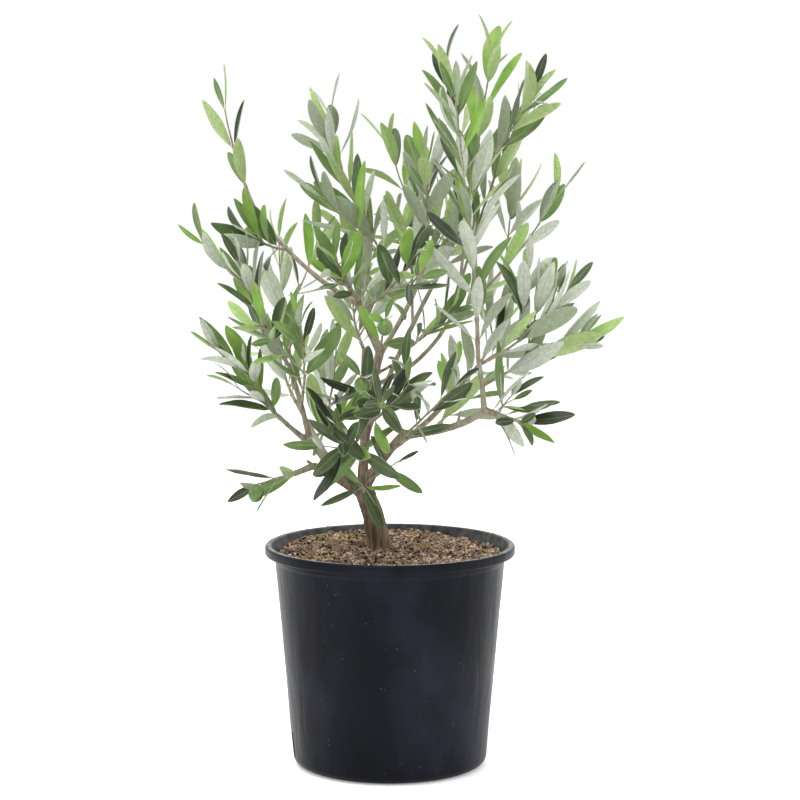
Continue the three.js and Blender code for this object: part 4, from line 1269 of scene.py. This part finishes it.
class OLIVE_OT_soil(bpy.types.Operator):
    """Fills the pot with potting mix and strews crumbs and fibres over it"""

    bl_idname = "olive.soil"
    bl_label = "Soil"

    def execute(self, context):
        soil, pot = context.scene.olive_soil, context.scene.olive_pot
        edge, rough = soil_radius(pot), soil.roughness / MM
        self.add_bed(soil, pot, edge, rough)
        self.add_crumbs(soil, pot, edge, rough)
        self.add_fibres(soil, edge, rough)
        return {"FINISHED"}

    def add_bed(self, soil, pot, edge, rough):
        rings, sides = SOIL["rings"], SOIL["sides"]
        shapes = Shapes()
        turns = np.arange(sides) / sides * 2 * math.pi
        foot = pot.base_radius / MM + pot.taper * FOOT_RISE - pot.wall / MM - SOIL["gap"]
        places = [(0, 0, SOIL["floor"])]
        corner = ((foot - BED_CORNER["inset"], SOIL["floor"]),
                  (foot - BED_CORNER["cut"], FOOT_RISE + BED_CORNER["rise"]))
        for radius, z in corner:
            places += [(radius * math.cos(t), radius * math.sin(t), z) for t in turns]
        for ring in range(rings):
            radius = edge * (1 - ring / rings)
            for t in turns:
                x, y = radius * math.cos(t), radius * math.sin(t)
                places.append((x, y, soil_height(x, y, edge, rough)))
        places.append((0, 0, soil_height(0, 0, edge, rough)))
        shapes.add(places, skin_faces(rings + 2, sides))
        settle(shapes.object("potting_mix", [soil_material(soil)], sharp=50), "soil", "soil")

    def add_crumbs(self, soil, pot, edge, rough):
        """Crumbs over the bed, a few on the rim, in six kinds, with more moss at the back left."""
        random = random_from(SEED * CRUMB_TIMES)
        dark, light, moss = tuple(soil.dark), tuple(soil.light), tuple(soil.moss)
        materials = [
            earth_material("crumb_peat", shaded(dark, 0.5), shaded(dark, 1.5)),
            earth_material("crumb_bark", BROWN_BARK, shaded(light, 0.7)),
            earth_material("crumb_coir", shaded(light, 0.70), light),
            earth_material("crumb_dry", shaded(light, 1.3), shaded(light, 1.6)),
            earth_material("crumb_red", RED_BARK, shaded(light, 0.7)),
            earth_material("crumb_moss", shaded(moss, 0.75), moss),
        ]
        shapes = Shapes()
        rim, strewn_to = pot.rim_radius / MM - RIM_CRUMB["inset"], edge - CRUMB["from_edge"]
        for number in range(soil.crumbs):
            on_rim = number % RIM_CRUMB["each"] == 0
            if on_rim:
                reach = rim + either_way(random, RIM_CRUMB["strewn"])
            else:
                reach = strewn_to * math.sqrt(random())
            turn = random() * 2 * math.pi
            x, y = reach * math.cos(turn), reach * math.sin(turn)
            size = CRUMB["least"] + CRUMB["more"] * random() ** 3
            if on_rim:
                size, z = size * RIM_CRUMB["size"], pot.height / MM
            else:
                z = soil_height(x, y, edge, rough) + size * CRUMB["raised"] + random() ** 2
            slot = self.crumb_kind(x, y, edge, random)
            self.add_crumb(shapes, (x, y, z), size, random, slot)
        settle(shapes.object("soil_crumbs", materials, sharp=70), "soil")

    def crumb_kind(self, x, y, edge, random):
        """The slot of a crumb's kind: its chances go by how mossy and how damp the place is."""
        mossy = MOSS["gain"] * ground_noise(x, y, *MOSS_PATCH) - MOSS["bare"]
        mossy += MOSS["back_left"] * (y - x) / edge
        mossy = min(MOSS["most"], max(MOSS["least"], mossy))
        damp = 0.5 - DAMP_GAIN * ground_noise(x, y, *DAMP_PATCH)
        kinds = lerp(CRUMBS_DRY, CRUMBS_DAMP, min(1.0, max(0.0, damp))) * (1 - mossy)
        return int(np.searchsorted(np.cumsum(kinds), random()))

    def add_crumb(self, shapes, place, size, random, slot):
        turn = random() * 2 * math.pi
        long = size * (1 + CRUMB_FORM["longer"] * random())
        flat = size * between(random, *CRUMB_FORM["flat"])
        out = np.array([math.cos(turn), math.sin(turn), either_way(random, CRUMB_FORM["tilt"])])
        side = np.array([-math.sin(turn), math.cos(turn), either_way(random, CRUMB_FORM["tilt"])])
        start = Vector((random() * 50, 0, 0))

        def bump(places):
            dents = [noise.noise(Vector(p) * CRUMB_FORM["waves"] + start) for p in places]
            return 1 + CRUMB_FORM["dents"] * np.array(dents)

        axes = (out * long, side * size, UP * flat)
        ball(shapes, place, axes, CRUMB["rings"], CRUMB["sides"], slot, bump)

    def add_fibres(self, soil, edge, rough):
        """Fine fibres that lie over the bed, curling up here and there."""
        random = random_from(SEED * FIBRE_TIMES)
        light, moss = tuple(soil.light), tuple(soil.moss)
        materials = [
            earth_material("fibre_tan", light, shaded(light, 1.2)),
            earth_material("fibre_brown", BROWN_FIBRE, light),
            earth_material("fibre_moss", moss, shaded(moss, 1.2)),
        ]
        shapes = Shapes()
        steps, strewn_to = FIBRE["steps"], edge - FIBRE["from_edge"]
        for _ in range(soil.fibres):
            reach, turn = strewn_to * math.sqrt(random()), random() * 2 * math.pi
            x, y = reach * math.cos(turn), reach * math.sin(turn)
            heading, curl = random() * 2 * math.pi, either_way(random, FIBRE["curl"])
            size = FIBRE["least"] + FIBRE["longer"] * random() ** 2
            rise = random() ** 3 * FIBRE["rise"]
            stout = FIBRE["thin"] + FIBRE["stouter"] * random()
            moss_here = ground_noise(x, y, *MOSS_PATCH) + FIBRE_MOSS["back_left"] * (y - x) / edge
            kinds = FIBRES_MOSSY if moss_here > FIBRE_MOSS["over"] else FIBRES_DRY
            slot = int(np.searchsorted(kinds, random()))
            line = []
            for step in np.linspace(0, 1, steps + 1):
                z = soil_height(x, y, edge, rough) + FIBRE["raised"]
                line.append((x, y, z + rise * math.sin(step * math.pi)))
                if math.hypot(x, y) < edge - FIBRE["turned_at"]:
                    x += math.cos(heading + curl * step) * size / steps
                    y += math.sin(heading + curl * step) * size / steps
                else:
                    x, y = x * FIBRE["turned_in"], y * FIBRE["turned_in"]
            rod(shapes, line, [stout] * len(line), FIBRE["sides"], slot)
        settle(shapes.object("soil_fibres", materials, sharp=80), "soil")


# ---- Wood ------------------------------------------------------------------------------------

LIMB = {"step": 2.0, "sides": 16, "collar": 0.32, "collar_reach": 2.2, "knots": 0.13,
        "knot_waves": 0.045}
STUB = {"rings": 8, "collar": 0.5, "fade": 4}
# The bark's relief: shares of its depth, and how fine each kind is.
RIDGES = {"high": 1.1, "cut": 3.4, "waves": 0.62, "along": 0.06}
WRINKLES = {"size": 0.5, "waves": 0.22, "along": 0.55}
LUMPS = {"size": 0.9, "least": 0.35, "waves": 0.12}
RELIEF = {"step": 1.2, "full_at": 9, "apart": 31}  # apart: so that no two limbs' ridges match
BARK_FROM = {"trunk_bark": 7.5, "bough_bark": 3.9, "limb_bark": 0.0}  # least radius of each
BARK_BORDER = {"ragged": 0.9, "waves": 0.35}
SOFTENED = {"factor": 0.5, "times": 4}
TWIG_FORM = {"spacing": 3.0, "thins": 0.8, "node": 0.34, "node_reach": 1.6, "waves": 0.05}
SWAY = np.array([1.0, 0.6, 0.2])
# Radii of side twigs and shoots, as shares of a stem's foot or tip.
SIDE_TWIG = {"foot": 0.68, "tip": 0.9}
SHORT_SHOOT = {"foot": 1.1, "tip": 0.7}
STEM_SHARE = 0.92  # of its limb's radius, at most


def noise_along(places, waves):
    return np.array([noise.noise(Vector((place * waves).tolist())) for place in places])


def limb_lines():
    """Every limb's centre line: places, radii, with a collar swelling at each foot."""
    lines = []
    for name, limb in limbs().items():
        along = np.linspace(0, 1, max(6, int(limb.curve.length / LIMB["step"])))
        places, radii = limb.curve.point(along), limb.radius(along)
        if name != "trunk":
            fade = np.exp(-along * limb.curve.length / (LIMB["collar_reach"] * radii[0]))
            radii = radii * (1 + LIMB["collar"] * fade)
        knots = 1 + LIMB["knots"] * noise_along(places, LIMB["knot_waves"])
        lines.append((places, radii * knots))
    for on, at, tip, radii in STUBS:
        curve = Curve(limbs()[on].curve.point(at), tip, (0, 0, 0))
        along = np.linspace(0, 1, STUB["rings"])
        collar = 1 + STUB["collar"] * (1 - along) ** STUB["fade"]
        lines.append((curve.point(along), lerp(*radii, along) * collar))
    return lines


def bark_relief(mesh, depth):
    """Moves the wood's surface in and out: long ridges, wrinkles across and small lumps."""
    rows = []
    for name, limb in limbs().items():
        along = np.linspace(0, 1, max(8, int(limb.curve.length / RELIEF["step"])))
        for place, way, radius, far in zip(limb.curve.point(along), limb.curve.tangent(along),
                                           limb.radius(along), along * limb.curve.length):
            rows.append((place, way, float(radius), far + len(name) * RELIEF["apart"]))
    tree = KDTree(len(rows))
    for number, row in enumerate(rows):
        tree.insert(row[0], number)
    tree.balance()
    total = len(mesh.vertices)
    places, normals = np.empty(total * 3), np.empty(total * 3)
    mesh.vertices.foreach_get("co", places)
    mesh.vertices.foreach_get("normal", normals)
    places, normals = places.reshape(-1, 3) / MM, normals.reshape(-1, 3)
    moves = np.empty(total)
    for i, place in enumerate(places):
        centre, way, radius, far = rows[tree.find(place)[1]]
        out = place - centre
        out = out - way * (out @ way)
        ridge = noise.noise(Vector(out * RIDGES["waves"]) + Vector((0, 0, far * RIDGES["along"])))
        across = Vector(out * WRINKLES["waves"]) + Vector((9, far * WRINKLES["along"], 0))
        lump = LUMPS["size"] * noise.noise(Vector(place * LUMPS["waves"]))
        part = min(1.0, radius / RELIEF["full_at"])
        ridged = RIDGES["high"] - RIDGES["cut"] * abs(ridge)
        wrinkled = WRINKLES["size"] * noise.noise(across)
        moves[i] = depth * (part * (ridged + wrinkled) + (LUMPS["least"] + part) * lump)
    mesh.vertices.foreach_set("co", ((places + normals * moves[:, None]) * MM).ravel())


def deal_bark(mesh):
    """Gives each face the bark of the nearest limb's radius, with ragged borders."""
    tree, radii = wood_tree()
    least = list(BARK_FROM.values())
    for face in mesh.polygons:
        place = face.center / MM
        ragged = BARK_BORDER["ragged"] * noise.noise(place * BARK_BORDER["waves"])
        radius = radii[tree.find(place)[1]] + ragged
        thinner = (slot for slot, low in enumerate(least) if radius > low)
        face.material_index = next(thinner, len(least) - 1)


class OLIVE_OT_wood(bpy.types.Operator):
    """Makes the trunk and boughs as one grown skin of bark"""

    bl_idname = "olive.wood"
    bl_label = "Trunk and Boughs"

    def execute(self, context):
        wood = context.scene.olive_wood
        shapes = Shapes()
        for places, radii in limb_lines():
            rod(shapes, places, radii, LIMB["sides"])
        tones = [tuple(tone) for tone in (wood.old_bark, wood.bark, wood.pale_bark, wood.young_bark)]
        materials = [bark_material(name, pale, dark)
                     for name, dark, pale in zip(BARK_FROM, tones, tones[1:])]
        piece = shapes.object("trunk_and_boughs", materials)
        skin = piece.modifiers.new("skin", "REMESH")
        skin.mode = "VOXEL"
        skin.voxel_size = wood.voxel * 1
        soft = piece.modifiers.new("soft", "SMOOTH")
        soft.factor, soft.iterations = SOFTENED["factor"], SOFTENED["times"]
        mesh = evaluated(piece, "trunk_and_boughs")
        bark_relief(mesh, wood.relief / MM)
        finish_mesh(mesh, sharp=None)
        deal_bark(mesh)
        settle(piece, "trunk", "trunk", *[bough.name for bough in BOUGHS])
        return {"FINISHED"}


def node_shares(stem):
    """Where the stem's pairs of leaves stand, as shares of its length."""
    if stem.pairs < 2:
        return [LEAF["last"]]
    return [lerp(stem.first, LEAF["last"], pair / (stem.pairs - 1)) for pair in range(stem.pairs)]


def twig_line(stem, foot, tip):
    """A twig's centre line and radii, a little stouter at each pair of leaves."""
    curve = stem.curve
    along = np.linspace(0, 1, max(5, int(curve.length / TWIG_FORM["spacing"])))
    places = curve.point(along)
    radii = lerp(foot, tip, along ** TWIG_FORM["thins"])
    for node in node_shares(stem):
        away = (along - node) * curve.length / TWIG_FORM["node_reach"]
        radii = radii * (1 + TWIG_FORM["node"] * np.exp(-away**2))
    sway = noise_along(places, TWIG_FORM["waves"]) * np.sin(along * math.pi)
    return places + sway[:, None] * SWAY, radii


class OLIVE_OT_twigs(bpy.types.Operator):
    """Makes the stems of the sprays, their side twigs and short shoots"""

    bl_idname = "olive.twigs"
    bl_label = "Twigs"

    def execute(self, context):
        wood = context.scene.olive_wood
        foot, tip = wood.twig_foot / MM, wood.twig_tip / MM
        shapes = Shapes()
        twig_ends = foot * SIDE_TWIG["foot"], tip * SIDE_TWIG["tip"]
        shoot_ends = tip * SHORT_SHOOT["foot"], tip * SHORT_SHOOT["tip"]
        for grown in crown():
            spray = grown.spray
            limb_radius = float(limbs()[spray.on].radius(np.array(float(spray.at))))
            stout = limb_radius if spray.at == 1 else min(foot, limb_radius * STEM_SHARE)
            rod(shapes, *twig_line(grown.stem, stout, tip), sides=8)
            for twig in grown.twigs:
                rod(shapes, *twig_line(twig, *twig_ends), sides=7, slot=1)
            for shoot in grown.shoots:
                rod(shapes, *twig_line(shoot, *shoot_ends), sides=6, slot=1)
        older = bark_material("twig_bark", tuple(wood.young_bark), tuple(wood.pale_bark))
        settle(shapes.object("twigs", [older, twig_material(wood)], sharp=60), "bough")
        return {"FINISHED"}


# ---- Leaves ----------------------------------------------------------------------------------

STALK_SHARE = 0.075  # of a leaf's length
STATIONS = np.array([0, 0.04, 0.072, 0.11, 0.18, 0.28, 0.40, 0.53, 0.66, 0.78, 0.88, 0.95, 0.985])
MARGIN_AT = 0.95  # where the margin starts to turn down, between midrib and edge
TIP_SHARE = 0.012  # of the length, past the last station
STALK_TONE_TO = STALK_SHARE + 0.02
# How leaves differ: their fold, curled tip, roll in degrees, sideways bend, waves and outline.
BLADE = {"fold": (0.2, 1.9), "curl": 0.44, "curls_down": 0.62, "roll": 30, "sickle": 0.10,
         "wave": 0.030, "phase": 6, "taper": (1.3, 1.75), "widest": (0.47, 0.60)}
CURLED_FROM, ROLLED_FROM = 0.35, 0.2  # shares of the length
RIB_HALF, RIB_DEPTH = (0.34, 0.1), 0.22  # half-width at foot and tip, and how far it stands out
RIB_MOST = 0.5  # of the blade's half-width
THIN_SHARE, THICK_FROM = 0.4, 3  # a blade is thinner where its half-width is less than this
LIFT = 0.86  # of a flat fold's height at the margin
LEAST_WIDE = 0.9  # of the stalk's radius
EDGE_WAVES, WAVES_FROM = 14, 4  # radians along a blade, and the half-width that waves in full
MIDDLE_HALF = 55  # sprays that end this near the middle go in the middle part


def blade_shape(station, taper, widest):
    """Half-width of a blade against its greatest, by share of the length."""
    part = np.clip((station - STALK_SHARE) / (1 - STALK_SHARE), 0, 1)
    foot, tip = taper * widest, taper * (1 - widest)
    return part**foot * (1 - part) ** tip / (widest**foot * (1 - widest) ** tip)


def add_blade(shapes, leaf, settings, random, slots):
    """One leaf: a thin closed blade on its stalk, folded on its midrib, curved and twisted."""
    top, under, rib, rib_under, stalk, margin = slots
    up, across, way = -leaf.normal, leaf.across, leaf.way
    fold = settings.fold * between(random, *BLADE["fold"])
    curl = (random() - BLADE["curls_down"]) * BLADE["curl"]
    roll = math.radians(either_way(random, BLADE["roll"]))
    sickle = either_way(random, BLADE["sickle"])
    wave, phase = leaf.width * BLADE["wave"] * random(), random() * BLADE["phase"]
    taper, widest = between(random, *BLADE["taper"]), between(random, *BLADE["widest"])
    thick, stout = settings.thickness / MM, settings.stalk / MM
    half = 0.5 * leaf.width * blade_shape(STATIONS, taper, widest)
    rings = []
    for station, wide in zip(STATIONS, half):
        on_stalk = station < STALK_SHARE
        bend = station * (1 - station) * 4 * leaf.arch
        tip_curl = curl * leaf.length * max(0.0, station - CURLED_FROM) ** 2
        centre = leaf.root + way * leaf.length * station - up * bend + up * tip_curl
        centre = centre + across * sickle * leaf.length * station**2
        turn = roll * max(0.0, station - ROLLED_FROM)
        side = across * math.cos(turn) + up * math.sin(turn)
        face = up * math.cos(turn) - across * math.sin(turn)
        if on_stalk:
            wide, rise = stout, 0.0
        else:
            wide, rise = max(wide, stout * LEAST_WIDE), math.tan(fold)
        rib_half = min(wide * RIB_MOST, lerp(*RIB_HALF, station))
        body = stout if on_stalk else thick * lerp(THIN_SHARE, 1, min(1.0, wide / THICK_FROM))
        edge = wave * math.sin(station * EDGE_WAVES + phase) * min(1.0, wide / WAVES_FROM)
        over = wide * MARGIN_AT
        high = rise * over * LIFT
        ring = []
        for part, lift in ((-wide, high + edge), (-over, high + edge), (-rib_half, 0.0),
                           (rib_half, 0.0), (over, high - edge), (wide, high - edge)):
            raised = 0 if abs(part) == wide else body / 2
            ring.append(centre + side * part + face * (lift + raised))
        drop = body if on_stalk else body / 2
        for part, lift in ((over, high - edge), (rib_half, -RIB_DEPTH), (-rib_half, -RIB_DEPTH),
                           (-over, high + edge)):
            ring.append(centre + side * part + face * (lift * (1 - on_stalk) - drop))
        rings.append(ring)
    end = rings[-1][0] * 0.5 + rings[-1][5] * 0.5 + way * leaf.length * TIP_SHARE
    # One slot for each face round the blade: the top side, then the underside. The margin faces take a
    # pale colour, a painted rim highlight.
    round_blade = [margin, top, rib, top, margin, margin, under, rib_under, under, margin]
    sides = len(round_blade)
    places = np.concatenate([np.array(rings).reshape(-1, 3), [end]])
    faces = ring_faces(len(rings), sides)
    last = (len(rings) - 1) * sides
    faces += [(last + side, last + (side + 1) % sides, len(places) - 1) for side in range(sides)]
    faces.append(tuple(range(sides))[::-1])
    dealt = []
    for station in STATIONS[1:]:
        dealt += [stalk] * sides if station < STALK_TONE_TO else round_blade
    dealt += round_blade + [stalk]
    shapes.add(places, faces, dealt)


class OLIVE_OT_leaves(bpy.types.Operator):
    """Makes the leaves, each in its own outline, joined into three parts of the crown"""

    bl_idname = "olive.leaves"
    bl_label = "Leaves"

    def execute(self, context):
        settings = context.scene.olive_leaves
        materials = leaf_materials(settings)
        parts = {"leaves_left": [], "leaves_middle": [], "leaves_right": []}
        for number, grown in enumerate(crown()):
            x = grown.spray.tip[0]
            middle = abs(x) <= MIDDLE_HALF
            name = "leaves_middle" if middle else "leaves_left" if x < 0 else "leaves_right"
            parts[name].append((number, grown))
        for name, sprays in parts.items():
            shapes = Shapes()
            for number, grown in sprays:
                random = random_from(SEED * LEAF_TIMES + number * LEAF_STEP)
                self.add_spray(shapes, grown, settings, random)
            piece = shapes.object(name, materials, sharp=55)
            settle(piece, "foliage", *[grown.spray.name for _, grown in sprays])
        return {"FINISHED"}

    def add_spray(self, shapes, grown, settings, random):
        # Leaf colours dealt by the spray's tint, darker where its place is shaded and lighter where it
        # is lit: painted shade and painted light.
        tops, unders = TINTS_AND_SHADE[grown.spray.tint_and_shade]
        tops, unders = np.cumsum(tops)[:-1], np.cumsum(unders)[:-1]
        for leaf in grown.leaves:
            top = int(np.searchsorted(tops, random()))
            under = len(LEAF_TOPS) + int(np.searchsorted(unders, random()))
            rib = len(LEAF_TOPS) + len(LEAF_UNDERS) + top
            rib_under = 2 * len(LEAF_TOPS) + len(LEAF_UNDERS)
            slots = (top, under, rib, rib_under, rib_under + 1, rib_under + 2)
            add_blade(shapes, leaf, settings, random, slots)


# The stalk runs from its foot past a knee to the fruit, where a cap covers its end.
FRUIT_STALK = {"reach": 1.6, "knee": 1.4, "radii": (0.75, 0.6, 0.85), "into": 0.86}
FRUIT_CAP = {"at": 0.93, "radius": 1.7, "high": 0.6}
FRUIT_POINT = {"size": 0.05, "sharp": 6}
FRUIT_DIMPLE = {"size": 0.10, "reach": 0.03}


class OLIVE_OT_olives(bpy.types.Operator):
    """Hangs the olives on their stalks"""

    bl_idname = "olive.olives"
    bl_label = "Olives"

    def execute(self, context):
        olive = context.scene.olive_fruit
        stems = {grown.spray.name: grown.stem.curve for grown in crown()}
        shapes = Shapes()
        half, radius = olive.length / MM / 2, olive.radius / MM
        for name, along, side in OLIVES:
            foot = stems[name].point(along)
            down = unit(np.array(side, float))
            across = unit(np.cross(down, UP + np.array([0.1, 0, 0])))
            other = np.cross(down, across)
            centre = foot + down * (half - OLIVE_SUNK + FRUIT_STALK["reach"])
            axes = (across * radius, other * radius, down * half)
            ball(shapes, centre, axes, rings=28, sides=32, bump=self.skin)
            end = centre - down * half * FRUIT_STALK["into"]
            line = [foot, foot + down * FRUIT_STALK["knee"], end]
            rod(shapes, line, FRUIT_STALK["radii"], sides=8, slot=1)
            wide, high = FRUIT_CAP["radius"], FRUIT_CAP["high"]
            cap = (across * wide, other * wide, down * high)
            ball(shapes, centre - down * half * FRUIT_CAP["at"], cap, rings=6, sides=12, slot=1)
        materials = [olive_material(olive), fruit_stalk_material()]
        settle(shapes.object("olives", materials, sharp=60), "foliage")
        return {"FINISHED"}

    @staticmethod
    def skin(places):
        """The olive's outline: a faint point at its tip and a dimple round its stalk."""
        point = np.maximum(0, places[:, 2]) ** FRUIT_POINT["sharp"]
        dimple = np.exp(-((1 + places[:, 2]) / FRUIT_DIMPLE["reach"]))
        return 1 + FRUIT_POINT["size"] * point - FRUIT_DIMPLE["size"] * dimple


class OLIVE_PT_panel(bpy.types.Panel):
    """The tree's sizes and the steps that build it"""

    bl_label = "Olive Tree"
    bl_idname = "OLIVE_PT_panel"
    bl_space_type = "VIEW_3D"
    bl_region_type = "UI"
    bl_category = "Olive Tree"

    def draw(self, context):
        for attribute, _, operators in PARTS:
            box = self.layout.box()
            settings = getattr(context.scene, attribute)
            for key in settings.bl_rna.properties.keys():
                if key not in ("rna_type", "name"):
                    box.prop(settings, key)
            for operator in operators:
                box.operator(operator.bl_idname)


# Where each group of settings is kept on the scene, and the steps that read it, in order.
PARTS = (
    ("olive_stage", StageSettings, (OLIVE_OT_stage,)),
    ("olive_pot", PotSettings, (OLIVE_OT_pot,)),
    ("olive_soil", SoilSettings, (OLIVE_OT_soil,)),
    ("olive_wood", WoodSettings, (OLIVE_OT_wood, OLIVE_OT_twigs)),
    ("olive_leaves", LeafSettings, (OLIVE_OT_leaves,)),
    ("olive_fruit", OliveSettings, (OLIVE_OT_olives,)),
)


def register():
    for attribute, settings, operators in PARTS:
        bpy.utils.register_class(settings)
        setattr(bpy.types.Scene, attribute, PointerProperty(type=settings))
        for operator in operators:
            bpy.utils.register_class(operator)
    bpy.utils.register_class(OLIVE_PT_panel)


def unregister():
    bpy.utils.unregister_class(OLIVE_PT_panel)
    for attribute, settings, operators in reversed(PARTS):
        for operator in reversed(operators):
            bpy.utils.unregister_class(operator)
        delattr(bpy.types.Scene, attribute)
        bpy.utils.unregister_class(settings)


def main():
    register()
    for _, _, operators in PARTS:
        for operator in operators:
            group, name = operator.bl_idname.split(".")
            getattr(getattr(bpy.ops, group), name)()


if __name__ == "__main__":
    main()
